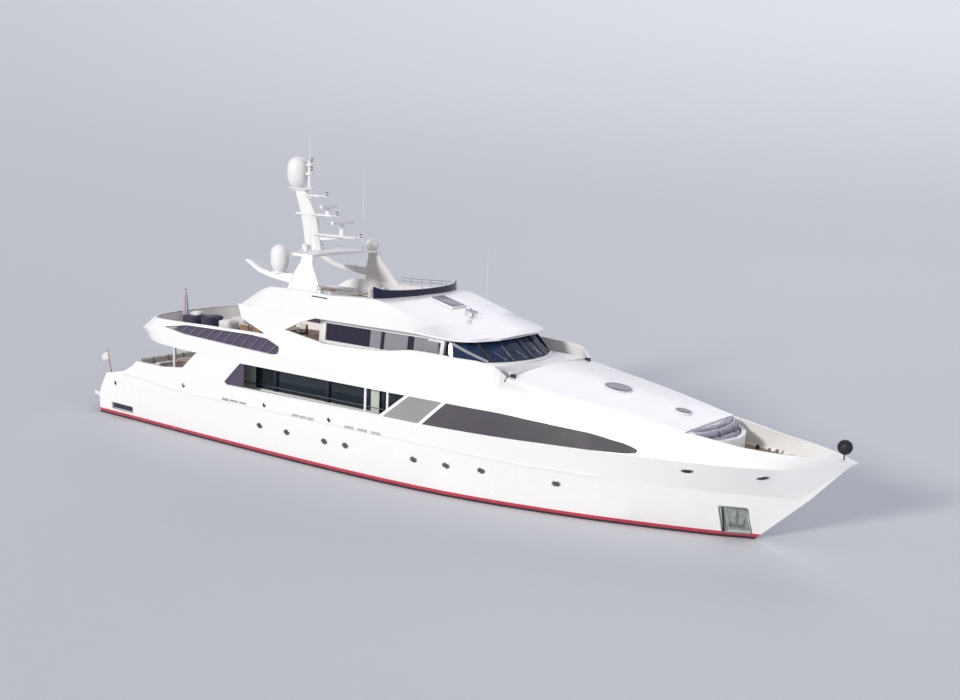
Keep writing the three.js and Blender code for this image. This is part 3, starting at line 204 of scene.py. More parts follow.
def flat_bar(half_width, half_height):
    """The section of a flat bar, as points (sideways, up)."""
    return [(-half_width, -half_height), (half_width, -half_height), (half_width, half_height),
            (-half_width, half_height)]


def add_line(data, places, closed):
    spline = data.splines.new("POLY")
    spline.points.add(len(places) - 1)
    for point, place in zip(spline.points, places):
        point.co = (*place, 1)
    spline.use_cyclic_u = closed


def linked(name, data):
    piece = bpy.data.objects.new(name, data)
    bpy.context.scene.collection.objects.link(piece)
    return piece


def curve(name, lines, radius=0.0, profile=None, closed=False, resolution=4):
    """A mesh swept along polylines, round or with a profile of points (sideways, up)."""
    data = bpy.data.curves.new(name, "CURVE")
    data.dimensions = "3D"
    data.twist_mode = "Z_UP"
    data.use_fill_caps = not closed
    for line in lines:
        add_line(data, line, closed)
    shape = None
    if profile:
        outline = bpy.data.curves.new(name + "_profile", "CURVE")
        outline.dimensions = "2D"
        add_line(outline, [(*point, 0) for point in profile], True)
        shape = linked(name + "_profile", outline)
        data.bevel_mode = "OBJECT"
        data.bevel_object = shape
    else:
        data.bevel_depth = radius
        data.bevel_resolution = resolution
    pick(linked(name, data))
    bpy.ops.object.convert(target="MESH")
    piece = bpy.context.object
    if shape:
        bpy.data.objects.remove(shape)
    return smooth(outward(piece), 40)


def slab(name, outline, low, high, bevel=0.0):
    """A plan outline of (x, y) points raised from one level to another."""
    bpy.ops.mesh.primitive_circle_add(vertices=len(outline), radius=1, fill_type="NGON")
    piece = named(name)
    for vertex, (x, y) in zip(piece.data.vertices, outline):
        vertex.co = (x, y, low)
    choose(piece)
    bpy.ops.mesh.extrude_region_move(TRANSFORM_OT_translate={"value": (0, 0, high - low)})
    done()
    settle(outward(piece))
    return soften(piece, bevel) if bevel else piece


def grid(name, rows):
    """Faces between rows of places, which have the same count."""
    bpy.ops.mesh.primitive_grid_add(x_subdivisions=len(rows[0]) - 1, y_subdivisions=len(rows) - 1, size=1)
    piece = named(name)
    for vertex, place in zip(piece.data.vertices, [place for row in rows for place in row]):
        vertex.co = place
    return settle(piece)


def copied(source, name):
    return linked(name, source.data.copy())


def joined(name, pieces):
    pick(*pieces)
    if len(pieces) > 1:
        bpy.ops.object.join()
    return named(name)


def moved(piece, matrix):
    piece.data.transform(matrix)
    return piece


def stamped(name, model, places):
    """Copies of a model, one at each matrix, joined to one piece. The model is used up."""
    copies = [moved(copied(model, name), place) for place in places]
    bpy.data.objects.remove(model)
    return joined(name, copies)


def skin(x, z, side, nodes=SHELL):
    """The outermost place, and its normal, where a line across the boat meets the shell on one side."""
    word = "starboard" if side < 0 else "port"
    best = (None, None)
    for name in nodes:
        shown = SHOWN.get(name) or SHOWN[f"{name}_{word}"]
        hit, place, normal, _ = shown.ray_cast((x, side * 6, z), (0, -side, 0))
        if hit and (best[0] is None or abs(place.y) > abs(best[0].y)):
            best = (place, normal)
    return best


def along_skin(points, side, out=0.0, nodes=SHELL, step=0.15):
    """Places along a line of (x, z) points drawn on the boat's side, each pushed out of the skin."""
    places = []
    for (x0, z0), (x1, z1) in zip(points, points[1:]):
        count = max(1, round(abs(x1 - x0) / step))
        places += [(x0 + (x1 - x0) * k / count, z0 + (z1 - z0) * k / count) for k in range(count)]
    places.append(points[-1])
    found = [skin(x, z, side, nodes) for x, z in places]
    return [place + normal * out for place, normal in found if place is not None]


def on_skin(x, z, side, out=0.0, nodes=SHELL):
    """A matrix whose X runs along the boat on its side, and whose Z points out of it."""
    place, normal = skin(x, z, side, nodes)
    along = (Vector((1, 0, 0)) - normal * normal.x).normalized()
    return on_axes(place + normal * out, along, normal.cross(along), normal)


def top_of(name, x, y):
    """The first place of a node under a point, with its normal."""
    return SHOWN[name].ray_cast((x, y, 12), (0, 0, -1))[1:3]


# Ways of making materials


class Paint:
    """A material whose colour and roughness drift a little and whose surface has a fine grain."""

    def __init__(self, name, color, roughness=0.4, metallic=0.0, mottle=0.06, mottle_scale=2.0, grain=0.0,
                 grain_scale=60, **sockets):
        self.material = bpy.data.materials.new(name)
        self.material.use_nodes = True
        self.tree = self.material.node_tree
        self.inputs = self.tree.nodes["Principled BSDF"].inputs
        color = (*color[:3], 1)
        drift = self.noise(mottle_scale)
        self.paint(self.mix(self.between(drift, 0.3, 0.7, 0, 1), shade(color, 1 - mottle), color))
        rough = self.between(self.noise(mottle_scale * 5), 0.3, 0.7, roughness * 0.85, roughness * 1.15)
        self.tree.links.new(rough, self.inputs["Roughness"])
        for key, value in dict(sockets, Metallic=metallic).items():
            self.inputs[key.replace("_", " ")].default_value = value
        if grain:
            self.bump(self.noise(grain_scale, 2), grain, 0.004)

    def node(self, kind, inputs=None, **attributes):
        made = self.tree.nodes.new("ShaderNode" + kind)
        for key, value in attributes.items():
            setattr(made, key, value)
        for key, value in (inputs or {}).items():
            if isinstance(value, bpy.types.NodeSocket):
                self.tree.links.new(value, made.inputs[key])
            else:
                made.inputs[key].default_value = value
        return made

    def calc(self, operation, *values):
        return self.node("Math", dict(enumerate(values)), operation=operation).outputs[0]

    def mix(self, factor, first, second):
        return self.node("Mix", {0: factor, 6: first, 7: second}, data_type="RGBA").outputs[2]

    def noise(self, scale, detail=4.0, stretch=(1, 1, 1)):
        place = self.node("TexCoord").outputs["Object"]
        mapped = self.node("Mapping", {"Vector": place, "Scale": stretch}).outputs[0]
        return self.node("TexNoise", {"Vector": mapped, "Scale": scale, "Detail": detail}).outputs["Fac"]

    def between(self, value, low, high, to_low, to_high):
        return self.node("MapRange", {0: value, 1: low, 2: high, 3: to_low, 4: to_high}).outputs[0]

    def axes(self):
        return self.node("SeparateXYZ", {0: self.node("TexCoord").outputs["Object"]}).outputs

    def above(self, value, level):
        return self.calc("GREATER_THAN", value, level)

    def color(self):
        """The socket that now feeds the base colour, to be mixed further."""
        return self.inputs["Base Color"].links[0].from_socket

    def paint(self, socket):
        self.tree.links.new(socket, self.inputs["Base Color"])

    def bump(self, height, strength, distance):
        bump = self.node("Bump", {"Height": height, "Strength": strength, "Distance": distance})
        self.tree.links.new(bump.outputs[0], self.inputs["Normal"])


def shade(color, factor):
    return tuple(channel * factor for channel in color[:3]) + (1,)


WHITE = (0.86, 0.86, 0.85)
PALE_TEAK, DARK_TEAK = (0.47, 0.33, 0.20), (0.30, 0.19, 0.11)
GELCOAT = {"color": WHITE, "roughness": 0.32, "mottle": 0.012, "mottle_scale": 0.5, "grain": 0.02, "grain_scale": 120,
           "Coat_Weight": 0.2, "Coat_Roughness": 0.15}
# Tops of the black and the red band at the waterline.
BOOT_BLACK = 0.055
BOOT_RED = 0.130


def hull_paint():
    """White above the water, a black band and a red boot-top at the waterline, dark antifouling below."""
    made = Paint("hull_paint", WHITE, 0.25, mottle=0.012, mottle_scale=0.5, Coat_Weight=0.25, Coat_Roughness=0.1)
    height = made.axes()[2]
    ragged = made.between(made.noise(7, 5, (1, 1, 4)), 0, 1, -0.006, 0.006)
    level = made.calc("ADD", height, ragged)
    stain = made.between(height, BOOT_RED, 0.55, 0.10, 0)
    aged = made.mix(made.calc("MULTIPLY", stain, made.noise(3, 6, (3, 3, 0.6))), made.color(), (0.52, 0.50, 0.38, 1))
    red = made.mix(made.noise(9), (0.42, 0.022, 0.045, 1), (0.60, 0.05, 0.09, 1))
    black = made.mix(made.noise(12), (0.010, 0.012, 0.016, 1), (0.035, 0.040, 0.045, 1))
    fouled = made.mix(made.between(made.noise(1.3, 8), 0.35, 0.7, 0, 1), (0.025, 0.030, 0.045, 1),
                      (0.060, 0.060, 0.050, 1))
    above = made.mix(made.above(height, BOOT_RED), red, aged)
    wet = made.mix(made.above(level, BOOT_BLACK), black, above)
    made.paint(made.mix(made.above(height, 0.0), fouled, wet))
    return made


def painted_wall(name, places):
    """White walls with the pillars between the panes painted dark. Places: x0, x1, z0, z1."""
    made = Paint(name, **GELCOAT)
    x, _, z = made.axes()
    dark = 0.0
    for x0, x1, z0, z1 in places:
        tests = [made.above(x, x0), made.calc("LESS_THAN", x, x1), made.above(z, z0), made.calc("LESS_THAN", z, z1)]
        both = made.calc("MULTIPLY", made.calc("MULTIPLY", *tests[:2]), made.calc("MULTIPLY", *tests[2:]))
        dark = made.calc("MAXIMUM", dark, both)
    made.paint(made.mix(dark, made.color(), (0.022, 0.026, 0.036, 1)))
    return made


def planking(name, light, dark, plank=0.028, seam=0.0035, across=1, roughness=0.62):
    """Laid planks with black seams between them. The axis across the planks is 0 for X or 1 for Y."""
    made = Paint(name, light, roughness, mottle=0.1)
    place = made.axes()
    rows = made.calc("DIVIDE", place[across], plank)
    part = made.calc("FRACT", rows)
    edge = made.calc("ABSOLUTE", made.calc("SUBTRACT", part, 0.5))
    caulk = made.above(edge, 0.5 - seam / plank / 2)
    row = made.node("TexWhiteNoise", {"W": made.calc("FLOOR", rows)}, noise_dimensions="1D")
    stretch = [1.5, 1.5, 1.5]
    stretch[across] = 45
    grain = made.between(made.noise(4, 6, stretch), 0.3, 0.75, 0, 1)
    wood = made.mix(grain, shade(light, 1.0), shade(dark, 1.0))
    wood = made.mix(made.calc("MULTIPLY", row.outputs[0], 0.45), wood, shade(dark, 0.9))
    worn = made.mix(made.between(made.noise(0.9, 3), 0.45, 0.75, 0, 0.5), wood, (0.50, 0.46, 0.40, 1))
    made.paint(made.mix(caulk, worn, (0.020, 0.020, 0.022, 1)))
    height = made.calc("SUBTRACT", made.calc("MULTIPLY", grain, 0.3), caulk)
    made.bump(height, 0.5, 0.002)
    return made


def deck_slab():
    """Planks on the upper deck's top, and white paint on its underside, its edge and its pillars."""
    made = planking("upper_deck_planks", PALE_TEAK, DARK_TEAK)
    top = made.above(made.axes()[2], UPPER_FLOOR - 0.002)
    made.paint(made.mix(top, (0.80, 0.80, 0.80, 1), made.color()))
    return made


def nonskid(name, color):
    """Fine raised diamonds moulded in a satin deck."""
    made = Paint(name, color, 0.5, mottle=0.05, mottle_scale=1.2)
    place = made.axes()
    turned = [made.calc("MULTIPLY", made.calc(operation, place[0], place[1]), 260)
              for operation in ("ADD", "SUBTRACT")]
    waves = [made.calc("SINE", value) for value in turned]
    made.bump(made.calc("MULTIPLY", *waves), 0.25, 0.0015)
    return made


def glass(name, color, roughness=0.05, clear=0.0):
    """Dark glass: nearly a mirror at a low angle, a little wavy, and clear in part."""
    made = Paint(name, color, roughness, mottle=0.25, mottle_scale=0.5, IOR=1.5, Alpha=1 - clear)
    made.bump(made.noise(0.7, 2), 0.06, 0.02)
    return made


def brushed(name, color, roughness=0.25):
    made = Paint(name, color, roughness, metallic=1.0, mottle=0.12, mottle_scale=6)
    made.bump(made.noise(90, 2, (0.06, 1, 1)), 0.12, 0.001)
    return made


def bronze_cast():
    made = brushed("bronze", (0.52, 0.33, 0.13), 0.36)
    patina = made.between(made.noise(9, 8), 0.5, 0.72, 0, 0.75)
    made.paint(made.mix(patina, made.color(), (0.10, 0.14, 0.10, 1)))
    return made


def weave(name, color, pitch=0.006, sheen=0.25):
    """Plain woven cloth: threads that cross, and slow changes of tone."""
    made = Paint(name, color, 0.85, mottle=0.18, mottle_scale=3, Sheen_Weight=sheen)
    place = made.axes()
    turns = 2 * math.pi / pitch
    threads = [made.calc("SINE", made.calc("MULTIPLY", place[axis], turns)) for axis in (0, 1, 2)]
    crossed = made.calc("ADD", made.calc("MULTIPLY", threads[0], threads[1]), threads[2])
    shadow = made.between(crossed, -1.5, 1.5, 0.35, 0)
    made.paint(made.mix(shadow, made.color(), shade(color, 0.6)))
    made.bump(crossed, 0.3, 0.001)
    return made


def blind_glass(name, bands, roughness=0.08):
    """Side glass whose tone changes along the boat where pale blinds stand behind it: (from x, colour)."""
    made = Paint(name, bands[0][1], roughness, mottle=0.1, IOR=1.5)
    x = made.axes()[0]
    color = made.color()
    for start, tone in bands[1:]:
        color = made.mix(made.above(x, start), color, (*tone, 1))
    lines = made.calc("SINE", made.calc("MULTIPLY", made.axes()[2], 300))
    made.paint(made.mix(made.between(lines, -1, 1, 0, 0.08), color, (0.01, 0.01, 0.01, 1)))
    return made


DARK_SIDE = (0.028, 0.022, 0.045)
PALE_BLIND = (0.30, 0.29, 0.32)
SLOT_DARK = (0.085, 0.070, 0.115)
UPPER_BLINDS = [(-9, DARK_SIDE), (0.338, PALE_BLIND), (1.456, DARK_SIDE), (1.643, PALE_BLIND)]
# Columns: x0, x1, z0, z1.
MAIN_PILLARS = [(x - 0.06, x + 0.06, 1.499, 2.111) for x in (-2.70, -0.95, 0.80)]
UPPER_PILLARS = [(0.68, 0.78, 3.019, 3.431), (2.51, 9.0, 3.019, 3.431)]

# Columns: tone, record slot, material.
FINISH = {
    "hull": ("hull_paint", hull_paint()),
    "white": ("gelcoat", Paint("gelcoat", **GELCOAT)),
    "main_wall": ("gelcoat", painted_wall("main_house_wall", MAIN_PILLARS)),
    "upper_wall": ("gelcoat", painted_wall("upper_house_wall", UPPER_PILLARS)),
    "satin": ("gelcoat", Paint("satin_white", (0.80, 0.80, 0.80), 0.45, mottle=0.05, grain=0.05)),
    "grey": ("deck_grey", nonskid("deck_grey", (0.60, 0.59, 0.66))),
    "teak": ("teak", planking("teak_deck", PALE_TEAK, DARK_TEAK)),
    "teak_across": ("teak", planking("teak_across", PALE_TEAK, DARK_TEAK, across=0)),
    "varnish": ("teak", planking("varnished_teak", (0.36, 0.16, 0.06), (0.22, 0.09, 0.03), plank=0.07, seam=0.001,
                                 roughness=0.2)),
    "deck_slab": ("teak", deck_slab()),
    "saloon_glass": ("dark_glass", glass("saloon_glass", (0.030, 0.045, 0.058), clear=0.25)),
    "side_glass": ("dark_glass", Paint("flush_glass", (0.105, 0.098, 0.108), 0.45, mottle=0.25, mottle_scale=0.5,
                                       Specular_IOR_Level=0.08)),
    "screen_glass": ("dark_glass", glass("screen_glass", (0.33, 0.33, 0.335), 0.2)),
    # The windshield glass is dark; its navy blue is a painted reflection of the sky.
    "front_glass": ("dark_glass", glass("front_glass", (0.016, 0.040, 0.105), clear=0.12)),
    "wind_glass": ("dark_glass", glass("wind_glass", (0.012, 0.014, 0.045), 0.1)),
    "roof_glass": ("dark_glass", Paint("roof_glass", (0.13, 0.12, 0.17), 0.3, mottle=0.15, Specular_IOR_Level=0.3)),
    "wing_glass": ("dark_glass", Paint("wing_glass", SLOT_DARK, 0.3, mottle=0.12, Specular_IOR_Level=0.4)),
    "slot_glass": ("dark_glass", blind_glass("slot_glass", [(-9, (0.42, 0.41, 0.47)), (-5.88, SLOT_DARK)], 0.3)),
    "slot_slat": ("dark_glass", Paint("slot_slat", (0.17, 0.15, 0.22), 0.45, mottle=0.2)),
    # The doors' grey-green is the painted shade of a white wall.
    "wall_shade_grey": ("gelcoat", Paint("shade_painted_door", (0.62, 0.66, 0.62), 0.45, mottle=0.08, grain=0.05)),
    # Grey-green plate at the back of the anchor pockets; its green is partly a painted reflection.
    "grey_green_plate": ("steel", Paint("anchor_plate", (0.44, 0.49, 0.46), 0.5, 0.3, 0.45, 11, 0.3)),
    "galvanised": ("steel", Paint("galvanised_anchor", (0.30, 0.31, 0.30), 0.5, 0.6, 0.35, 9, 0.2)),
    "parasol_cloth": ("white_cloth", weave("parasol_cloth", (0.70, 0.63, 0.73))),
    "upper_glass": ("dark_glass", blind_glass("upper_side_glass", UPPER_BLINDS)),
    "steel": ("steel", brushed("polished_steel", (0.66, 0.67, 0.69), 0.2)),
    "bronze": ("bronze", bronze_cast()),
    "navy": ("navy_cloth", weave("navy_cloth", (0.030, 0.035, 0.075))),
    # The bow cushions' lavender-grey is part cloth colour, part painted shade.
    "mauve": ("navy_cloth", weave("mauve_cloth", (0.34, 0.33, 0.43))),
    "cream": ("white_cloth", weave("cream_cloth", (0.74, 0.72, 0.68))),
    "white_cloth": ("white_cloth", weave("white_cloth", (0.82, 0.81, 0.80))),
    "black": ("black", Paint("black_rubber", (0.012, 0.012, 0.014), 0.6, mottle=0.4, mottle_scale=12, grain=0.1)),
    # dark: a dark paint, also the painted shade in the fairleads' openings, the coamings' slits and along the anchor
    # pockets' top and aft edges.
    "dark": ("black", Paint("dark_recess", (0.030, 0.030, 0.036), 0.75, mottle=0.3, mottle_scale=4)),
    "vent": ("deck_grey", Paint("vent_grey", (0.38, 0.38, 0.42), 0.5, mottle=0.1)),
    "radome": ("antenna_white",
               Paint("radome_white", (0.83, 0.83, 0.82), 0.38, mottle=0.05, mottle_scale=5, grain=0.03)),
    "red_lamp": ("black", Paint("red_lamp", (0.55, 0.02, 0.02), 0.1, Transmission_Weight=0.3)),
    "green_lamp": ("black", Paint("green_lamp", (0.02, 0.35, 0.10), 0.1, Transmission_Weight=0.3)),
    "clear_lamp": ("dark_glass", Paint("clear_lamp", (0.80, 0.80, 0.76), 0.08, Transmission_Weight=0.4)),
}


def coat(piece, tone):
    piece.data.materials.clear()
    piece.data.materials.append(FINISH[tone][1].material)


def fit(piece, tone, body=ROOT):
    """Gives a finished piece its material and the body that it rides on."""
    settle(piece)
    coat(piece, tone)
    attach(piece, body)
    return piece


# Frame nodes that are shown as smooth copies, and the ones that only take a material.
# Columns: node, with * for both sides, tone, angle under which its faces run smoothly together.
SMOOTHED = [
    ("hull", "hull", 22), ("quarter_*", "white", 12), ("side_bulwark_*", "white", 12),
    ("window_panel_*", "white", 12), ("topside_*", "white", 12), ("bow", "white", 12), ("upper_bulwark", "white", 20),
    ("upper_wing_*", "white", 20), ("upper_side_*", "white", 20), ("coach_roof", "white", 20),
    ("upper_house", "upper_wall", 25), ("windshield", "front_glass", 25), ("sun_deck", "white", 20),
    ("wind_screen", "wind_glass", 30), ("arch", "white", 30), ("mast", "radome", 35), ("dome_top", "radome", 45),
    ("dome_*", "radome", 45), ("flush_window_*", "side_glass", 25), ("screen_window_*", "screen_glass", 25),
    ("anchor_ball", "black", 60), ("propeller_*", "bronze", 35), ("radar_lower", "radome", 35),
    ("radar_upper", "radome", 35),
]
PLAIN = {
    "white": "transom_door", "teak": "main_deck foredeck", "main_wall": "main_house", "deck_slab": "upper_deck",
    "saloon_glass": "saloon_glass_* saloon_door_* lounge_door", "upper_glass": "upper_side_glass_* wheelhouse_door_*",
    "galvanised": "anchor_*", "steel": "windlass", "grey": "foredeck_hatch", "hull": "rudder_* stabiliser_fin_*",
    "varnish": "aft_table",
}


# The smooth copies that ride on a body of their own.
MOVING = ("propeller_starboard", "propeller_port", "radar_lower", "radar_upper")


def clean_copy(node_name, name):
    """A copy of a frame node with its corners merged and its flat faces whole."""
    piece = copied(NODES[node_name], name)
    choose(piece)
    bpy.ops.mesh.remove_doubles(threshold=MERGE)
    bpy.ops.mesh.select_all(action="SELECT")
    bpy.ops.mesh.dissolve_limited(angle_limit=math.radians(0.3))
    done()
    pick(piece)
    if piece.data.has_custom_normals:
        bpy.ops.mesh.customdata_custom_splitnormals_clear()
    return piece


def both(name):
    """The names that a name with * stands for."""
    return [name.replace("*", word) for word in SIDES] if "*" in name else [name]


def smoothed_nodes():
    for names, tone, degrees in SMOOTHED:
        for name in both(names):
            piece = smooth(modify(clean_copy(name, name + "_skin"), "TRIANGULATE"), degrees)
            fit(piece, tone, name if name in MOVING else ROOT)
            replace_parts(piece, name)
            SHOWN[name] = piece


def plain_nodes():
    for tone, names in PLAIN.items():
        for name in [name for group in names.split() for name in both(group)]:
            coat(NODES[name], tone)


smoothed_nodes()
plain_nodes()


# Hull side: rubbing rail, portholes, vents, fairleads, exhausts and anchor pockets

# Columns: x, z.
RUB_RAIL = [(-7.98, 1.25), (-7.1, 1.245), (-6.3, 1.17), (-5.2, 1.13), (-1.9, 1.165), (1.5, 1.165), (3.3, 1.14),
            (4.85, 1.10), (6.6, 1.075)]
PORTHOLES = [(-2.69, 0.723), (-1.76, 0.712), (-0.53, 0.702), (0.135, 0.718), (2.137, 0.738), (3.01, 0.749),
             (3.91, 0.785), (5.64, 0.764)]
ROUND_LEADS = [(-8.37, 0.936), (-5.46, 1.32), (-2.5, 1.27), (-0.364, 1.253)]
BOW_LEADS = [(8.45, 1.49), (9.86, 1.515)]
# Columns: x of the middle of a vent, z, length.
VENTS = [(-3.87, 1.205, 0.24), (-3.565, 1.203, 0.28), (-3.25, 1.20, 0.24), (-1.44, 1.185, 0.2), (-1.19, 1.183, 0.22),
         (-0.94, 1.18, 0.2), (0.28, 1.178, 0.26), (0.685, 1.176, 0.28), (1.09, 1.175, 0.26)]
# Recesses in the hull: x0, x1, z0, z1.
POCKET = (8.93, 9.43, 0.135, 0.71)
EXHAUST = (-8.6, -7.7, 0.19, 0.37)


def add_rub_rails():
    section = [(-0.014, -0.031), (0.001, -0.031), (0.005, -0.024), (0.005, 0.024), (0.001, 0.031), (-0.014, 0.031)]
    for word, side in SIDES.items():
        outward_section = [(across * -side, up) for across, up in section]
        line = along_skin(RUB_RAIL, side, nodes=HULL_SIDE)
        fit(curve("rub_rail_" + word, [line], profile=outward_section), "satin")


def ring(name, radius, thickness, height=1.0, segments=40):
    """A round or oval ring that lies flat about the origin."""
    bpy.ops.mesh.primitive_torus_add(major_radius=radius, minor_radius=thickness, major_segments=segments,
                                     minor_segments=10)
    piece = named(name)
    piece.scale = (1, height, 1)
    return settle(piece)


# Columns: ring, middle, places, out of the skin, radius, thickness and height share of the ring, size and tone of
# the middle.
HULL_RINGS = [
    ("porthole_frames", "porthole_panes", PORTHOLES, 0, 0.094, 0.013, 0.70, (0.088, 0.060, 0.006), "side_glass"),
    # The dark middles of the fairleads are painted shade in their openings.
    ("round_fairlead_rings", "round_fairlead_holes", ROUND_LEADS, 0, 0.050, 0.012, 1, (0.046, 0.046, 0.005), "dark"),
    ("bow_fairlead_rings", "bow_fairlead_holes", BOW_LEADS, 0.004, 0.125, 0.014, 0.36, (0.120, 0.040, 0.014), "dark"),
]


def add_hull_rings():
    for rim, middle, spots, out, radius, thickness, height, size, tone in HULL_RINGS:
        places = [on_skin(x, z, side, out) for side in SIDES.values() for x, z in spots]
        fit(smooth(stamped(rim, ring(rim, radius, thickness, height), places), 60), "steel")
        fit(stamped(middle, ball(middle, (0, 0, 0), size), places), tone)


def louvre(name, length, height, depth, slats):
    """A frame with slanted slats that lies flat about the origin."""
    rim = box(name, (-length / 2, -height / 2, -0.022), (length / 2, height / 2, depth), 0.003)
    choose(rim, "FACE", lambda face: face.normal.z > 0.9)
    bpy.ops.mesh.inset(thickness=height * 0.14, use_boundary=True)
    bpy.ops.transform.translate(value=(0, 0, -depth * 0.8))
    done()
    parts = [rim]
    pitch = height * 0.72 / slats
    reach = length / 2 - height * 0.1
    for k in range(slats):
        y = -height * 0.36 + pitch * (k + 0.5)
        slat = box(name + "_slat", (-reach, y - pitch * 0.36, 0), (reach, y + pitch * 0.30, depth * 0.75))
        slat.rotation_euler = (math.radians(-18), 0, 0)
        parts.append(settle(slat))
    return joined(name, parts)


def add_vents():
    parts = [moved(louvre("vent", length, 0.055, 0.010, 3), on_skin(x, z, side))
             for side in SIDES.values() for x, z, length in VENTS]
    fit(smooth(joined("engine_vents", parts)), "vent")


def frame_on_skin(name, recess, margin, radius):
    """A round bar along the edges of a recess in both sides of the hull."""
    x0, x1, z0, z1 = [edge + sign * margin for edge, sign in zip(recess, (-1, 1, -1, 1))]
    cut = margin * 1.5
    corners = [(x0 + cut, z0), (x1 - cut, z0), (x1, z0 + cut), (x1, z1 - cut), (x1 - cut, z1), (x0 + cut, z1),
               (x0, z1 - cut), (x0, z0 + cut)]
    lines = [along_skin([*corners, corners[0]], side)[:-1] for side in SIDES.values()]
    return curve(name, lines, radius=radius, closed=True, resolution=3)


def recess_plate(name, recess, side, inset=0.01, out=0.004, steps=8):
    """A plate against the back of a recess of the hull."""
    x0, x1, z0, z1 = [edge + sign * inset for edge, sign in zip(recess, (1, -1, 1, -1))]
    rows = [[skin(x0 + (x1 - x0) * across / steps, z0 + (z1 - z0) * up / steps, side, ("hull",))[0]
             + Vector((0, side * out, 0)) for across in range(steps + 1)] for up in range(steps + 1)]
    plate = grid(name, rows)
    return thicken(flipped(plate) if side > 0 else plate, 0.003, 1)


def add_recess_fittings():
    fit(frame_on_skin("anchor_pocket_rims", POCKET, 0.016, 0.017), "galvanised")
    fit(frame_on_skin("exhaust_rims", EXHAUST, 0.018, 0.009), "satin")
    x0, x1, z0, z1 = POCKET
    # A dark bar along the pocket's aft and top edges is the painted shadow inside the recess.
    shadow_edges = [(x0 + 0.012, z0), (x0 + 0.012, z1 - 0.012), (x1, z1 - 0.012)]
    for word, side in SIDES.items():
        fit(recess_plate("anchor_pocket_plate_" + word, POCKET, side), "grey_green_plate")
        fit(recess_plate("exhaust_back_" + word, EXHAUST, side), "black")
        bars = [along_skin([(EXHAUST[0] - 0.03, z), (EXHAUST[1] + 0.03, z)], side, nodes=("hull",), step=1.1)
                for z in (0.235, 0.28, 0.325)]
        bars = [[place - Vector((0, side * 0.05, 0)) for place in bar] for bar in bars]
        fit(curve("exhaust_bars_" + word, bars, radius=0.012), "wing_glass")
        edge = along_skin(shadow_edges, side, nodes=("hull",), step=0.04)
        fit(curve("anchor_pocket_lip_" + word, [edge], radius=0.024), "dark")


add_rub_rails()
add_hull_rings()
add_vents()
add_recess_fittings()


# Soft pads: a slightly small form, filled by pressure in a cloth simulation


def padded(name, outline, low, high, tone, cap=0.018, voxel=0.014):
    """A cushion with a plan outline, filled until it crowns, but flat where it rests."""
    inset = 0.02
    middle = Vector((sum(x for x, _ in outline), sum(y for _, y in outline), 0)) / len(outline)
    shrunk = []
    for x, y in outline:
        away = Vector((x, y, 0)) - middle
        shrunk.append(tuple((middle + away * max(0.5, 1 - inset / away.length))[:2]))
    pad = slab(name, shrunk, low, high - inset * 0.8)
    modify(pad, "BEVEL", width=min(0.03, (high - low) * 0.3), segments=2, limit_method="ANGLE",
           angle_limit=math.radians(30))
    modify(pad, "REMESH", mode="VOXEL", voxel_size=voxel)
    start = [vertex.co.copy() for vertex in pad.data.vertices]
    cloth = pad.modifiers.new("fill", "CLOTH")
    cloth.settings.use_pressure = True
    cloth.settings.uniform_pressure_force = 4
    cloth.settings.effector_weights.gravity = 0
    cloth.settings.quality = 4
    for number in range(1, 21):
        bpy.context.scene.frame_set(number)
    pick(pad)
    bpy.ops.object.modifier_apply(modifier="fill")
    for vertex, before in zip(pad.data.vertices, start):
        step = vertex.co - before
        if step.length > cap:
            step *= cap / step.length
        vertex.co = before + step
        vertex.co.z = max(vertex.co.z, low)
    bpy.context.scene.frame_set(1)
    modify(pad, "SUBSURF", levels=1, render_levels=1)
    fit(smooth(pad, 180), tone)
    return pad


def rounded(x0, x1, y0, y1, radius=0.04, steps=3):
    """A rectangle's outline with round corners."""
    corners = [(x1 - radius, y1 - radius), (x0 + radius, y1 - radius), (x0 + radius, y0 + radius),
               (x1 - radius, y0 + radius)]
    turns = [(corner, math.radians(90 * number + 90 * k / steps)) for number, corner in enumerate(corners)
             for k in range(steps + 1)]
    return [(x + radius * math.cos(turn), y + radius * math.sin(turn)) for (x, y), turn in turns]


def read_off(line, x):
    """The second column of a line of points at a place in its first column, which grows."""
    for (x0, z0), (x1, z1) in zip(line, line[1:]):
        if x0 <= x <= x1:
            return z0 + (z1 - z0) * (x - x0) / (x1 - x0)
    return line[0][1] if x < line[0][0] else line[-1][1]


# Edges of the bow sun pad's recess, from its middle to its side. Columns: y, x.
PAD_AFT = [(0, 8.62), (0.37, 8.60), (0.74, 8.53), (1.01, 8.40)]
PAD_FORWARD = [(0, 8.92), (0.35, 8.86), (0.72, 8.70), (1.01, 8.48)]
# Columns: place across the boat, y0, y1.
BOW_PADS = [("starboard", -0.96, -0.335), ("middle", -0.32, 0.32), ("port", 0.335, 0.96)]


def add_bow_pads():
    """Three seats with leaning backs, and head rests on the shelf behind them."""
    shelf = top_of("bow", 8.46, 0)[0].z
    for word, y0, y1 in BOW_PADS:
        ys = [y0 + (y1 - y0) * k / 6 for k in range(7)]
        aft = [(read_off(PAD_AFT, abs(y)) + 0.016, y) for y in ys]
        ahead = [(read_off(PAD_FORWARD, abs(y)) - 0.018, y) for y in reversed(ys)]
        pad = padded("bow_pad_" + word, aft + ahead, 1.901, 2.10, "mauve")
        padded("bow_back_" + word, aft + [(x + 0.085, y) for x, y in reversed(aft)], 2.09, 2.235, "mauve")
        behind = [(read_off(PAD_AFT, abs(y)) - 0.20, y) for y in reversed(ys)]
        padded("bow_headrest_" + word, [(x - 0.012, y) for x, y in aft] + behind, shelf + 0.001, shelf + 0.045,
               "mauve")
        if word == "middle":
            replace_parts(pad, "bow_sun_pad")


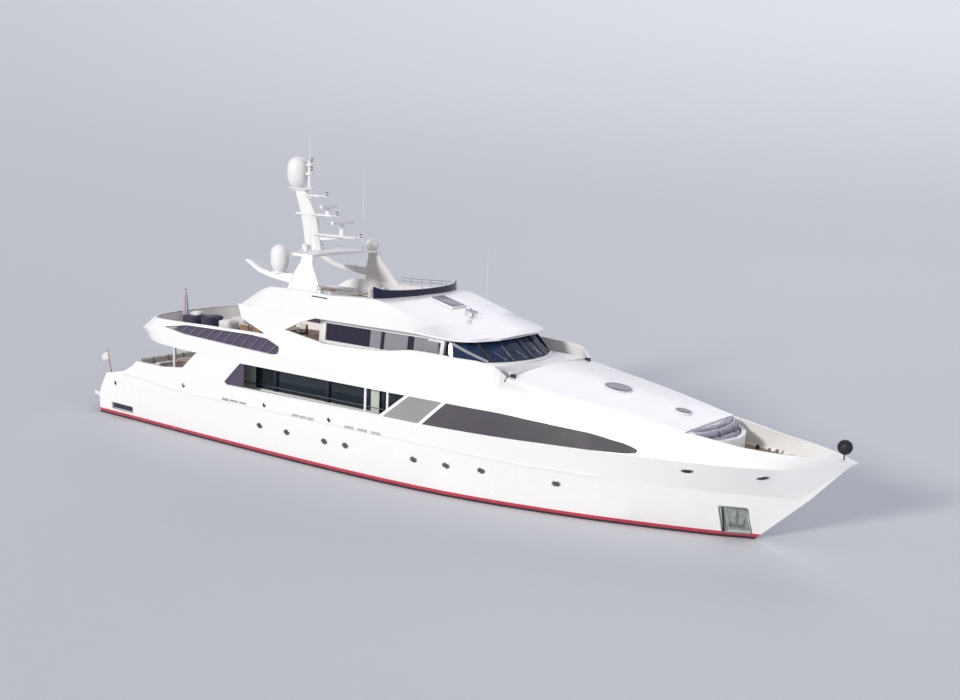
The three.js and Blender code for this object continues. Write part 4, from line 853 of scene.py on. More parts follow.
def add_aft_settee():
    """A moulded base across the stern with seat and back cushions."""
    floor = MAIN_FLOOR
    half = [(-8.69, 1.08), (-8.06, 1.08), (-8.06, 0.62), (-8.28, 0.62)]
    outline = [(x, -y) for x, y in half] + half[::-1]
    base = slab("settee_base", outline, floor, floor + 0.15, 0.015)
    shelf = box("settee_back_board", (-8.69, -1.08, floor + 0.13), (-8.64, 1.08, floor + 0.40), 0.012)
    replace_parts(fit(joined("settee_base", [base, shelf]), "satin"), "aft_settee")
    low, high = floor + 0.152, floor + 0.245
    seats = [(-8.07, -1.07, -0.63), (-8.29, -0.62, -0.005), (-8.29, 0.005, 0.62), (-8.07, 0.63, 1.07)]
    for count, (x1, y0, y1) in enumerate(seats, 1):
        padded(f"settee_seat_{count}", rounded(-8.53, x1, y0, y1), low, high, "cream")
    for count, (y0, y1) in enumerate(((-1.07, -0.545), (-0.535, -0.005), (0.005, 0.535), (0.545, 1.07)), 1):
        padded(f"settee_back_{count}", rounded(-8.635, -8.54, y0, y1, 0.03), low, floor + 0.43, "cream")


add_bow_pads()
add_aft_settee()


# Side decks and the openings in the topsides and the upper bulwark

# Lower edge of the side opening and the outline of the bulwark's slot. Columns: x, z.
OPENING_SILL = [(-3.77, 1.572), (-3.23, 1.575), (1.16, 1.617)]
SLOT_TOP = [(-6.32, 2.745), (-5.45, 2.88), (-3.20, 2.925), (-2.56, 2.90), (-2.10, 2.76)]
SLOT_FOOT = [(-6.32, 2.735), (-5.45, 2.655), (-2.26, 2.555), (-2.10, 2.59)]


def add_cap_rails():
    """White rails on the low bulwark, with two posts up to the deck above, and what is on the house behind."""
    oval = [(-0.048, -0.009), (-0.043, -0.014), (0.043, -0.014), (0.048, -0.009), (0.048, 0.009), (0.043, 0.014),
            (-0.043, 0.014), (-0.048, 0.009)]
    for word, side in SIDES.items():
        below = along_skin([(x, z - 0.02) for x, z in OPENING_SILL], side, nodes=("side_bulwark",))
        line = [Vector((place.x, place.y - side * 0.032, read_off(OPENING_SILL, place.x) + 0.008)) for place in below]
        fit(curve("cap_rail_" + word, [line], profile=oval), "satin")
        y = side * 2.175
        posts = [box("side_post", (x - 0.028, y - 0.02, low), (x + 0.028, y + 0.02, 2.175), 0.008)
                 for x, low in ((0.70, 1.62), (1.36, 1.76))]
        fit(joined("side_posts_" + word, posts), "white")
        # The doors take a grey-green that paints the shade on the white house wall.
        doors = [box("shade_painted_door", (x0, side * 1.672 - 0.007, 1.46), (x1, side * 1.672 + 0.007, 2.15), 0.006)
                 for x0, x1 in ((-3.84, -3.36), (0.44, 0.70))]
        fit(joined("shade_painted_doors_" + word, doors), "wall_shade_grey")
        rail = curve("house_rail", [[Vector((place.x, side * 1.715, 1.62)) for place in line]], radius=0.012)
        brackets = [drum("bracket", (x, side * 1.665, 1.62), 0.007, 0.05, axis=(0, side, 0), vertices=10)
                    for x in (-3.6, -2.7, -0.95, 0.8)]
        fit(joined("house_rail_" + word, [rail, *brackets]), "steel")


def leaning(low, high, x, z, side, inward):
    """A place at a height on the line between two places, drawn in from the side."""
    return Vector((x, low.y + (high.y - low.y) * (z - low.z) / (high.z - low.z) - side * inward, z))


def slot_place(x, line, rise, side, inward):
    """A place in the slot, between the bulwark's skin under it and over it."""
    low = skin(x, read_off(SLOT_FOOT, x) - 0.04, side)[0]
    high = skin(x, read_off(SLOT_TOP, x) + 0.02, side)[0]
    return leaning(low, high, x, read_off(line, x) + rise, side, inward)


# The dark pane in the aft corner of the side opening. Columns: x, lower edge, upper edge.
WING_PANE = [(-3.96, 1.54, 1.58), (-3.80, 1.54, 1.78), (-3.62, 1.54, 2.00), (-3.42, 1.54, 2.24), (-3.25, 1.54, 2.26)]


def add_wing_panes():
    for word, side in SIDES.items():
        rows = [[leaning(skin(x, 1.53, side)[0], skin(x, 2.33, side)[0], x, edges[row], side, 0.035)
                 for x, *edges in WING_PANE] for row in (0, 1)]
        fit(thicken(grid("wing_pane_" + word, rows), 0.010), "wing_glass")


SLOT_STEPS = 24
# Count, first place, spacing and forward lean of the slot's slats.
SLATS = (12, -5.98, 0.32, 0.26)


def add_slot_panels():
    start, end = SLOT_TOP[0][0], SLOT_TOP[-1][0]
    xs = [start + (end - start) * k / SLOT_STEPS for k in range(SLOT_STEPS + 1)]
    count, first, spacing, lean = SLATS
    for word, side in SIDES.items():
        rows = [[slot_place(x, line, rise, side, 0.075) for x in xs]
                for line, rise in ((SLOT_FOOT, -0.03), (SLOT_TOP, 0.03))]
        fit(thicken(grid("slot_panel_" + word, rows), 0.008), "slot_glass")
        slats = [[slot_place(x, SLOT_FOOT, -0.01, side, 0.045), slot_place(x + lean, SLOT_TOP, 0.01, side, 0.045)]
                 for x in [first + k * spacing for k in range(count)]]
        fit(curve("slot_slats_" + word, slats, profile=flat_bar(0.004, 0.014)), "slot_slat")


# Level lines from the centreline of the upper deck to its bulwark. Columns: x of the start, angle from ahead.
LINER_RAYS = [(x, 90) for x in (-2.6, -3.3, -4.0, -4.8, -5.6, -6.4)] + [
    (-7.0, degrees) for degrees in (90, 104, 116, 128, 140, 152, 166, 180)]


def inner_rim(x, degrees):
    """The highest place of the bulwark's inner face that a level line from the centreline meets."""
    turn = math.radians(degrees)
    for step in range(80):
        start = (x, 0, 3.15 - step * 0.01)
        hit, place, _, _ = SHOWN["upper_bulwark"].ray_cast(start, (math.cos(turn), math.sin(turn), 0))
        if hit:
            return place - Vector((0, 0, 0.012))
    return None


def across_boat(half):
    """A line from one side to the middle, carried on to the other side."""
    return half + [Vector((place.x, -place.y, place.z)) for place in reversed(half[:-1])]


def add_bulwark_liner():
    """Upright white panels inside the upper bulwark, from its rim down to the planks."""
    half = [place for place in (inner_rim(x, degrees) for x, degrees in LINER_RAYS) if place is not None]
    rim = across_boat(half)
    foot = [Vector((place.x, place.y, UPPER_FLOOR + 0.002)) for place in rim]
    fit(smooth(thicken(grid("bulwark_liner", [foot, rim]), 0.010), 40), "white")


add_bulwark_liner()
add_cap_rails()
add_wing_panes()
add_slot_panels()


# Furniture of the decks


def chair(name, place, facing):
    """An armchair with a wooden frame; it faces along an angle in degrees."""
    legs = [box(name, (x - 0.012, y - 0.012, 0), (x + 0.012, y + 0.012, 0.30), 0.003)
            for x in (-0.12, 0.12) for y in (-0.13, 0.13)]
    arms = [box(name, (-0.14, y - 0.018, 0.30), (0.13, y + 0.018, 0.315), 0.005) for y in (-0.135, 0.135)]
    rails = [box(name, (-0.13, -0.13, 0.17), (0.13, 0.13, 0.19), 0.004),
             box(name, (-0.145, -0.14, 0.19), (-0.125, 0.14, 0.42), 0.005)]
    wood = joined(name + "_frame", [*legs, *arms, *rails])
    seat = box(name + "_seat", (-0.11, -0.115, 0.195), (0.125, 0.115, 0.245), 0.018, 3)
    back = box(name + "_back", (-0.118, -0.115, 0.235), (-0.075, 0.115, 0.44), 0.016, 3)
    turn = Matrix.Translation(place) @ Matrix.Rotation(math.radians(facing), 4, "Z")
    fit(moved(wood, turn), "varnish")
    fit(moved(joined(name + "_cushions", [seat, back]), turn), "cream")


def chairs(name, floor, places):
    """Chairs in a row of places (x, y, facing)."""
    for count, (x, y, facing) in enumerate(places, 1):
        chair(f"{name}_{count}", Vector((x, y, floor)), facing)


# Columns: x, y, facing.
AFT_CHAIRS = [(-7.02, y, 180) for y in (-0.42, 0.0, 0.42)]
DINING_CHAIRS = [(x, side * 0.52, side * -90) for side in (-1, 1) for x in (-4.85, -4.40, -3.95)]


# Stacked chairs under covers and white pads. Columns: name, x0, x1, y0, y1, foot, top, tone.
LOUNGERS = [
    ("covered_chairs_aft", -6.84, -6.30, -1.10, -0.50, 0.002, 0.50, "navy"),
    ("covered_chairs_forward", -6.16, -5.72, -1.06, -0.50, 0.002, 0.56, "navy"),
    ("folded_pads_aft", -6.66, -6.28, -0.98, -0.62, 0.515, 0.60, "white_cloth"),
    ("folded_pads_forward", -5.56, -5.10, -0.98, -0.56, 0.002, 0.50, "white_cloth"),
    ("sun_lounger_aft", -6.70, -6.10, 0.50, 1.04, 0.002, 0.30, "white_cloth"),
    ("sun_lounger_forward", -5.95, -5.35, 0.50, 1.04, 0.002, 0.30, "white_cloth"),
]


def add_deck_furniture():
    chairs("aft_chair", MAIN_FLOOR, AFT_CHAIRS)
    floor = UPPER_FLOOR
    chairs("dining_chair", floor, DINING_CHAIRS)
    top = slab("dining_table", rounded(-5.15, -3.65, -0.34, 0.34, 0.2, 6), floor + 0.352, floor + 0.375, 0.006)
    posts = [drum("post", (x, 0, floor), 0.035, 0.355, bevel=0.004) for x in (-4.85, -3.95)]
    fit(joined("dining_table", [top, *posts]), "varnish")
    for name, x0, x1, y0, y1, foot, height, tone in LOUNGERS:
        outline = rounded(x0, x1, y0, y1, 0.08)
        padded(name, outline, floor + foot, floor + height, tone, cap=0.04, voxel=0.025)


# The closed parasol's cloth. Columns: height over the floor, outer radius, depth of the folds.
CANOPY_ROWS = [(0.41, 0.078, 0.030), (0.46, 0.088, 0.034), (0.60, 0.082, 0.032), (0.75, 0.070, 0.028),
               (0.90, 0.055, 0.020), (1.02, 0.034, 0.010), (1.09, 0.018, 0.002)]
CANOPY_FOLDS = 8


def hang(cloth, tone, thickness):
    """Finishes a cloth: gives it a thickness, smooth shading and its material."""
    fit(smooth(thicken(cloth, thickness), 180), tone)


def add_parasol():
    """The closed parasol on its foot, its cloth drawn in folds around the pole."""
    x, y, floor = -7.15, -0.64, UPPER_FLOOR + 0.02
    foot = drum("parasol_stand", (x, y, floor), 0.15, 0.035, top=0.14, vertices=40, bevel=0.006)
    pole = drum("pole", (x, y, floor + 0.03), 0.014, 1.08, vertices=16)
    knob = ball("knob", (x, y, floor + 1.115), 0.022, 16)
    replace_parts(fit(joined("parasol_stand", [foot, pole, knob]), "varnish"), "parasol")
    bpy.ops.mesh.primitive_cylinder_add(vertices=64, radius=1, depth=1, end_fill_type="NOTHING")
    canopy = named("parasol_canopy")
    choose(canopy, "EDGE", lambda edge: abs(edge.verts[0].co.z - edge.verts[1].co.z) > 0.5)
    bpy.ops.mesh.subdivide(number_cuts=len(CANOPY_ROWS) - 2)
    done()
    for vertex in canopy.data.vertices:
        row = round((vertex.co.z + 0.5) * (len(CANOPY_ROWS) - 1))
        z, radius, depth = CANOPY_ROWS[min(row, len(CANOPY_ROWS) - 1)]
        angle = math.atan2(vertex.co.y, vertex.co.x)
        twist = angle + (z - 0.4) * 0.5
        reach = radius - depth * (0.5 + 0.5 * math.cos(CANOPY_FOLDS * angle))
        vertex.co = (x + reach * math.cos(twist), y + reach * math.sin(twist), floor + z)
    settle(canopy)
    modify(canopy, "SUBSURF", levels=1, render_levels=1)
    hang(canopy, "parasol_cloth", 0.003)


add_deck_furniture()
add_parasol()


# Sun deck: its planks, helm, seats, sun beds, rails and the roof ahead of the wind screen


def deck_outline(x0, x1, half):
    corner = 0.5
    return [(x0, -half), (x1 - corner, -half), (x1 - 0.15, -half + corner), (x1, -0.42), (x1, 0.42),
            (x1 - 0.15, half - corner), (x1 - corner, half), (x0, half)]


def add_helm(floor):
    console = slab("helm_console", [(0.02, -0.80), (0.34, -0.78), (0.42, -0.3), (0.42, 0.1), (0.02, 0.1)], floor,
                   floor + 0.40, 0.02)
    dash = box("dash", (0.10, -0.72, floor + 0.38), (0.40, 0.04, floor + 0.50), 0.03, 3)
    fit(joined("helm_console", [console, dash]), "white")
    screens = [box("screen", (0.092, y, floor + 0.40), (0.104, y + 0.20, floor + 0.485), 0.004)
               for y in (-0.66, -0.42, -0.18)]
    fit(joined("helm_screens", screens), "wind_glass")
    parts = [ring("helm_wheel", 0.10, 0.010)]
    parts += [drum("spoke", (0, 0, 0), 0.006, 0.10, axis=(math.cos(turn), math.sin(turn), 0), vertices=8)
              for turn in (0, 2.094, 4.189)]
    parts.append(drum("hub", (0, 0, -0.05), 0.016, 0.06, vertices=16))
    place = Matrix.Translation((-0.03, -0.35, floor + 0.34)) @ Matrix.Rotation(math.radians(-65), 4, "Y")
    fit(moved(joined("helm_wheel", parts), place), "steel")
    for word, y in (("left", -0.1), ("right", -0.6)):
        post = drum("post", (-0.42, y, floor), 0.03, 0.24, bevel=0.004)
        foot = drum("foot", (-0.42, y, floor), 0.09, 0.02, bevel=0.004)
        fit(joined("helm_seat_post_" + word, [post, foot]), "steel")
        pads(floor, "white_cloth", [
            ("helm_seat_" + word, (-0.54, -0.30, y - 0.14, y + 0.14), 0.24, 0.31),
            ("helm_seat_back_" + word, (-0.575, -0.515, y - 0.14, y + 0.14, 0.025), 0.29, 0.56),
        ])


def pads(floor, tone, rows):
    """Cushions. Columns: name, rounded outline, low and high over the floor."""
    for name, outline, low, high in rows:
        padded(name, rounded(*outline), floor + low, floor + high, tone)


def add_sun_deck():
    floor = SUN_FLOOR + 0.004
    fit(slab("sun_deck_planks", deck_outline(-3.60, 0.49, 1.37), SUN_FLOOR - 0.004, floor), "teak")
    add_helm(floor)
    base = [(-1.9, 1.36), (-1.9, 0.95), (-0.45, 0.95), (-0.45, 0.55), (0.0, 0.55), (0.0, 1.0), (-0.15, 1.34)]
    fit(slab("sofa_base", base, floor, floor + 0.16, 0.012), "white")
    pads(floor, "white_cloth", [
        ("sofa_seat_long", (-1.88, -0.47, 0.97, 1.26), 0.162, 0.25),
        ("sofa_back_long", (-1.88, -0.47, 1.27, 1.36, 0.03), 0.20, 0.45),
        ("sofa_seat_end", (-0.44, -0.05, 0.57, 1.2), 0.162, 0.25),
    ])
    top = slab("low_table", rounded(-1.7, -0.8, 0.35, 0.75, 0.08), floor + 0.20, floor + 0.22, 0.005)
    fit(joined("low_table", [top, drum("post", (-1.25, 0.55, floor), 0.03, 0.205)]), "varnish")
    bar = [(-2.2, -1.35), (-1.2, -1.35), (-1.2, -1.0), (-2.2, -1.0)]
    fit(slab("bar", bar, floor, floor + 0.46, 0.015), "white")
    fit(box("bar_top", (-2.23, -1.37, floor + 0.46), (-1.17, -0.96, floor + 0.48), 0.006), "varnish")
    pads(floor, "white_cloth", [(f"sun_bed_{count}", (-3.50, -2.62, y0, y0 + 0.82, 0.06), 0.10, 0.20)
                                for count, y0 in enumerate((-1.30, -0.42, 0.46), 1)])
    fit(box("sun_bed_base", (-3.52, -1.32, floor), (-2.60, 1.30, floor + 0.098), 0.012), "white")


# Columns: x, z. The dark slit in the outside of each coaming: a dark strip that paints the shade inside the slit.
COAMING_SLIT = [(-1.48, 4.02), (-1.22, 4.016), (-0.97, 4.008)]


def add_coaming_vents():
    for word, side in SIDES.items():
        line = along_skin(COAMING_SLIT, side, 0.0, ("sun_deck",), 0.05)
        fit(curve("coaming_vent_" + word, [line], profile=flat_bar(0.006, 0.018)), "dark")


RAIL_STATIONS = [-1.40, -1.08, -0.76, -0.44, -0.12, 0.20]


def add_sun_rails():
    for word, side in SIDES.items():
        feet = [top_of("sun_deck", x, side * 1.60)[0] for x in RAIL_STATIONS]
        rails = curve("rails", [[foot + UP * rise for foot in feet] for rise in (0.09, 0.17)], radius=0.009)
        stanchions = curve("stanchions", [[foot - UP * 0.005, foot + UP * 0.17] for foot in feet], radius=0.008)
        fit(joined("sun_deck_rails_" + word, [rails, stanchions]), "steel")


# Top edge of the wind screen, from its side to its middle. Columns: x, y, z.
SCREEN_EDGE = [(0.315, -1.56, 4.43), (0.475, -1.43, 4.36), (0.635, -1.0, 4.32), (0.71, -0.5, 4.315), (0.73, 0, 4.31)]


def add_screen_rail():
    rail = curve("wind_screen_rail", [across_boat([Vector(place) for place in SCREEN_EDGE])], radius=0.012)
    fit(modify(rail, "SUBSURF", levels=1, render_levels=1), "steel")


def on_roof(name, x, y):
    """A matrix with Z out of a node's top and X along the boat."""
    place, normal = top_of(name, x, y)
    across = normal.cross(Vector((1, 0, 0))).normalized()
    return on_axes(place, across.cross(normal), across, normal)


SEARCHLIGHT = (2.25, -0.32, 3.776)


def add_roof_gear():
    place = on_roof("sun_deck", 1.32, 0)
    fit(moved(box("roof_hatch", (-0.33, -0.24, -0.02), (0.33, 0.24, 0.016), 0.010, 3), place), "roof_glass")
    fit(moved(box("roof_hatch_rim", (-0.363, -0.273, -0.06), (0.363, 0.273, 0.004), 0.006), place), "satin")
    ahead = (1, 0, 0)
    horns = []
    for x, y in ((1.92, 0.10), (1.92, -0.04)):
        trumpet = drum("horn", (0, 0, 0.055), 0.010, 0.20, top=0.034, axis=ahead, vertices=24)
        stand = box("horn_stand", (0.0, -0.012, -0.01), (0.03, 0.012, 0.05), 0.003)
        bell = drum("horn_drum", (-0.03, 0, 0.055), 0.03, 0.035, axis=ahead, vertices=24, bevel=0.006)
        horns.append(moved(joined("horn", [trumpet, stand, bell]), on_roof("sun_deck", x, y)))
    fit(joined("horns", horns), "steel")
    yoke = joined("searchlight", [
        drum("foot", (0, 0, -0.01), 0.035, 0.05, vertices=24, bevel=0.004),
        box("arm", (-0.02, -0.062, 0.03), (0.02, -0.054, 0.12), 0.003),
        box("arm", (-0.02, 0.054, 0.03), (0.02, 0.062, 0.12), 0.003),
        box("saddle", (-0.02, -0.062, 0.03), (0.02, 0.062, 0.04), 0.003),
        drum("can", (-0.05, 0, 0.10), 0.044, 0.11, top=0.052, axis=ahead, vertices=32, bevel=0.008),
    ])
    fit(moved(yoke, Matrix.Translation(SEARCHLIGHT)), "satin")
    lens = drum("searchlight_lens", (0.058, 0, 0.10), 0.045, 0.005, axis=ahead, vertices=32)
    fit(moved(lens, Matrix.Translation(SEARCHLIGHT)), "clear_lamp")


# Columns: x, radius, height of the dome.
SKYLIGHTS = [(6.08, 0.30, 0.030), (7.675, 0.168, 0.022)]


def add_skylights():
    for count, (x, radius, rise) in enumerate(SKYLIGHTS, 1):
        place = on_roof("coach_roof", x, 0)
        rim = drum(f"skylight_rim_{count}", (0, 0, -0.05), radius + 0.026, 0.055, vertices=64, bevel=0.006)
        fit(moved(rim, place), "satin")
        fit(moved(ball(f"skylight_pane_{count}", (0, 0, 0.002), (radius, radius, rise), 48), place), "roof_glass")


add_sun_deck()
add_coaming_vents()
add_sun_rails()
add_screen_rail()
add_roof_gear()
add_skylights()


# Mast, arch and aerials

# Columns: foot, height, radius.
WHIPS = [((-2.06, -1.16, 4.93), 1.9, 0.008), ((-2.40, 1.16, 4.93), 1.9, 0.008), ((1.7, 1.05, 3.86), 1.3, 0.006)]
# Columns: x, y, z.
MAST_LAMPS = [(-3.16, 0, 6.95), (-3.16, 0, 7.17), (-2.62, 0.0, 6.335), (-2.26, 0, 5.865), (-1.45, 0, 5.375)]
# Columns: aft end, forward end, top of the bracket that carries each of the last three lamps.
LAMP_BRACKETS = [(-3.00, -2.578, 6.319), (-2.50, -2.218, 5.849), (-1.69, -1.408, 5.359)]
# Columns: x, y, z, radius.
SMALL_DOMES = [(x, y, 4.95, radius) for x, reach, radius in ((-3.06, 0.30, 0.078), (-2.72, 0.62, 0.058))
               for y in (reach, -reach)]


def add_aerials():
    whips, lamps, hoods, domes = [], [], [], []
    for foot, height, radius in WHIPS:
        whips += [drum("whip", foot, radius * 2.6, 0.09, top=radius * 1.4, vertices=16),
                  drum("whip", Vector(foot) + UP * 0.08, radius, height, top=radius * 0.4, vertices=12)]
    fit(joined("whip_aerials", whips), "radome")
    for place in MAST_LAMPS:
        lamps.append(drum("lamp", place, 0.030, 0.05, vertices=24))
        hoods += [drum("hood", Vector(place) + UP * 0.05, 0.036, 0.016, vertices=24, bevel=0.003),
                  drum("foot", Vector(place) - UP * 0.02, 0.036, 0.02, vertices=24, bevel=0.003)]
    fit(joined("mast_lamps", lamps), "clear_lamp")
    fit(joined("mast_lamp_hoods", hoods), "black")
    brackets = [box("bracket", (x0, -0.028, top - 0.030), (x1, 0.028, top), 0.006) for x0, x1, top in LAMP_BRACKETS]
    fit(joined("mast_lamp_brackets", brackets), "radome")
    for x, y, z, radius in SMALL_DOMES:
        domes += [drum("dome_foot", (x, y, z - 0.005), radius * 0.75, radius * 0.8, vertices=24),
                  ball("dome", (x, y, z + radius), radius, 24)]
    fit(joined("small_domes", domes), "radome")


add_aerials()


# Foredeck: bollards, vents and chain stoppers


def bollard(place):
    parts = [box("bollard", (-0.163, -0.053, 0), (0.163, 0.053, 0.014), 0.004)]
    for x in (-0.09, 0.09):
        parts += [drum("post", (x, 0, 0.01), 0.033, 0.11, vertices=24),
                  drum("cap", (x, 0, 0.112), 0.044, 0.020, vertices=24, bevel=0.005)]
    return moved(joined("bollard", parts), Matrix.Translation(place))


def add_foredeck_gear():
    floor = FORE_FLOOR
    fit(joined("foredeck_bollards", [bollard((9.45, side * 0.72, floor)) for side in SIDES.values()]), "steel")
    cowls = [drum("cowl", (8.98, side * 0.98, floor - 0.004), 0.045, 0.09, top=0.036, vertices=24, bevel=0.008)
             for side in SIDES.values()]
    fit(joined("foredeck_vents", cowls), "dark")
    stoppers = []
    for y in (-0.23, 0.23):
        stoppers += [box("stopper", (10.36, y - 0.05, floor), (10.50, y + 0.05, floor + 0.03), 0.006),
                     box("stopper", (10.39, y - 0.035, floor + 0.02), (10.47, y - 0.02, floor + 0.09), 0.004),
                     box("stopper", (10.39, y + 0.02, floor + 0.02), (10.47, y + 0.035, floor + 0.09), 0.004)]
    fit(joined("chain_stoppers", stoppers), "steel")


add_foredeck_gear()


# Stern: planks and ladder of the platform, stair treads, capstans, flag and the transom door's latches

PLATFORM_TOP = 0.50
TREAD_HEIGHTS = (0.608, 0.716, 0.824, 0.932)
TRANSOM_RAKE = 0.62
LATCH_HEIGHT = 0.66


def transom_x(z):
    return -9.15 + (z - 0.562) * TRANSOM_RAKE - 0.036


def add_platform():
    top = PLATFORM_TOP
    edge = [(-9.735, 1.44), (-9.68, 1.63), (-9.18, 1.79)]
    outline = edge + [(x, -y) for x, y in reversed(edge)]
    fit(slab("platform_planks", outline, top - 0.004, top + 0.004), "teak")
    treads = []
    for side in SIDES.values():
        y0, y1 = sorted((side * 1.20, side * 1.62))
        for count, height in enumerate(TREAD_HEIGHTS):
            x0 = -9.14 if count == 0 else -8.94 + 0.15 * (count - 1) + 0.008
            x1 = -8.94 + 0.15 * count - 0.01
            treads.append(box("tread", (x0, y0, height - 0.002), (x1, y1, height + 0.006), 0.002))
    fit(joined("stair_treads", treads), "teak_across")
    rails = [[(-9.795, y, top - 0.02), (-9.83, y, top - 0.05), (-9.83, y, top - 0.42)] for y in (-0.17, 0.17)]
    rungs = [box("rung", (-9.85, -0.17, top - z), (-9.81, 0.17, top - z + 0.014), 0.004) for z in (0.16, 0.28, 0.40)]
    fit(joined("bathing_ladder", [curve("ladder", rails, radius=0.013), *rungs]), "steel")
    turn = UP.rotation_difference(Vector((-1, 0, TRANSOM_RAKE)).normalized()).to_matrix().to_4x4()
    latches = []
    for y in (-0.45, 0.45):
        boss = drum("boss", (0, 0, 0), 0.030, 0.010, vertices=32, bevel=0.003)
        lever = box("lever", (-0.014, -0.055, 0.008), (0.014, 0.02, 0.018), 0.004)
        place = Matrix.Translation((transom_x(LATCH_HEIGHT), y, LATCH_HEIGHT)) @ turn
        latches.append(moved(joined("latch", [boss, lever]), place))
    fit(joined("transom_latches", latches), "steel", "transom_door")


# A capstan's outline. Columns: share of the height, share of the radius.
CAPSTAN_ROWS = [(0, 1.35), (0.08, 1.35), (0.14, 1.0), (0.45, 0.78), (0.72, 0.82), (0.86, 1.15), (0.95, 1.15), (1, 0.9)]


def capstan(place, radius=0.065, height=0.20):
    parts = [drum("capstan", Vector(place) + UP * (height * z0), radius * r0, height * (z1 - z0), top=radius * r1)
             for (z0, r0), (z1, r1) in zip(CAPSTAN_ROWS, CAPSTAN_ROWS[1:])]
    return joined("capstan", parts)


def cleat(place, turn, length=0.20):
    parts = [box("foot", (x - 0.012, -0.012, 0), (x + 0.012, 0.012, 0.04), 0.003) for x in (-length / 6, length / 6)]
    horns = [(-length / 2, 0, 0.052), (-length / 4, 0, 0.044), (length / 4, 0, 0.044), (length / 2, 0, 0.052)]
    parts += [curve("horns", [horns], radius=0.010),
              box("base", (-length / 4, -0.022, -0.002), (length / 4, 0.022, 0.006), 0.002)]
    return moved(joined("cleat", parts), Matrix.Translation(place) @ Matrix.Rotation(math.radians(turn), 4, "Z"))


def add_stern_gear():
    sides = SIDES.values()
    fit(joined("stern_capstans", [capstan((-8.31, side * 1.78, MAIN_FLOOR)) for side in sides]), "steel")
    cleats = [cleat((-9.35, side * 1.74, PLATFORM_TOP), -side * 12) for side in sides]
    cleats += [cleat((x, side * y, MAIN_FLOOR), 2) for x, y in ((-7.6, 1.95), (-5.6, 2.02)) for side in sides]
    fit(joined("mooring_cleats", cleats), "steel")


# Foot of the flag staff on the quarter, and the flag's length and height.
FLAG_FOOT = Vector((-8.62, -1.965, 1.19))
FLAG = (0.30, 0.19)


def add_flag():
    foot, lean = FLAG_FOOT, Vector((-0.28, 0, 1)).normalized()
    staff = drum("flag_staff", foot - lean * 0.02, 0.012, 0.62, top=0.008, axis=lean, vertices=16)
    truck = ball("truck", foot + lean * 0.605, 0.016, 12)
    socket = drum("socket", foot - lean * 0.01, 0.022, 0.06, axis=lean, vertices=20, bevel=0.003)
    fit(joined("flag_staff", [staff, truck, socket]), "varnish")
    length, height = FLAG
    rows = []
    for up in [k / 16 for k in range(17)]:
        hoist = foot + lean * (0.38 + up * height)
        rows.append([hoist + Vector((-along * length * 0.86, 0.018 * along * math.sin(along * 9 + up * 1.5),
                                     -0.11 * along ** 1.4)) for along in [k / 30 for k in range(31)]])
    hang(grid("flag", rows), "white_cloth", 0.0016)


add_platform()
add_stern_gear()
add_flag()


# Wheelhouse: wipers, handles, side lamps, and what shows through the glass


def ahead_of(y, z):
    """Where a line from ahead of the boat meets the windscreen, with its normal."""
    return SHOWN["windshield"].ray_cast((9, y, z), (-1, 0, 0))[1:3]


def add_wipers():
    arms, blades = [], []
    for y in (-0.92, -0.34, 0.34, 0.92):
        low, high = ahead_of(y + 0.10, 3.035)[0], ahead_of(y - 0.12, 3.36)[0]
        middle, out = ahead_of(y - 0.02, 3.20)
        lift = out * 0.022
        arms += [curve("arm", [[low + lift * 1.6, middle + lift]], radius=0.006),
                 drum("pivot", low, 0.014, 0.04, axis=out, vertices=16)]
        ends = [ahead_of(y - 0.02 - 0.06, 3.10)[0] + lift * 0.7, high + lift * 0.7]
        blades.append(curve("blade", [ends], radius=0.005))
    fit(joined("wiper_arms", arms), "steel")
    fit(joined("wiper_blades", blades), "black")


# Columns: x, z. The pale pillar across each end of the windscreen.
FRONT_PILLAR = [(2.60, 3.42), (3.02, 3.22), (3.42, 3.035)]


def bowed(ends, part):
    """A place on the smooth curve through three places."""
    first, middle, last = ends
    return (first * (2 * part * part - 3 * part + 1) + middle * (4 * part - 4 * part * part)
            + last * (2 * part * part - part))


def add_window_trim():
    for word, side in SIDES.items():
        ends = [skin(x, z, side, ("upper_house", "windshield"))[0] for x, z in FRONT_PILLAR]
        line = [bowed(ends, step / 12) + Vector((0, side * 0.012, 0)) for step in range(13)]
        fit(curve("front_pillar_" + word, [line], profile=flat_bar(0.006, 0.030)), "vent")
        face = skin(2.015, 3.2, side, ("upper_house",))[0].y
        fit(box("window_post_cover_" + word, (1.97, face - 0.006, 3.015), (2.06, face + 0.006, 3.435)), "upper_glass")


# Columns: name, body, x, y, height of the middle, and the way out of the door.
HANDLES = [
    ("saloon_handle_starboard", "saloon_door_starboard", -4.736, -0.06, 1.55, (-1, 0, 0)),
    ("saloon_handle_port", "saloon_door_port", -4.736, 0.06, 1.55, (-1, 0, 0)),
    ("wheelhouse_handle_starboard", "wheelhouse_door_starboard", 2.12, -1.749, 2.90, (0, -1, 0)),
    ("wheelhouse_handle_port", "wheelhouse_door_port", 2.12, 1.749, 2.90, (0, 1, 0)),
    ("lounge_handle", "lounge_door", -1.334, -0.28, 2.88, (-1, 0, 0)),
]


def add_handles():
    for name, body, x, y, z, way in HANDLES:
        out = Vector(way) * 0.03
        low, high = Vector((x, y, z - 0.12)), Vector((x, y, z + 0.12))
        fit(curve(name, [[low, low + out, high + out, high]], radius=0.008), "steel", body)


# Stations of the fairing where the upper bulwark runs into the coach roof. Columns: height, share of filling.
FAIRING_X = [4.262, 4.284, 4.34, 4.40, 4.48, 4.58, 4.70, 4.84, 4.97]
FAIRING_ROWS = [(z, 1.0) for z in (2.20, 2.24, 2.32, 2.40, 2.48, 2.56, 2.64, 2.70)] + [(2.74, 0.7), (2.79, 0.0)]


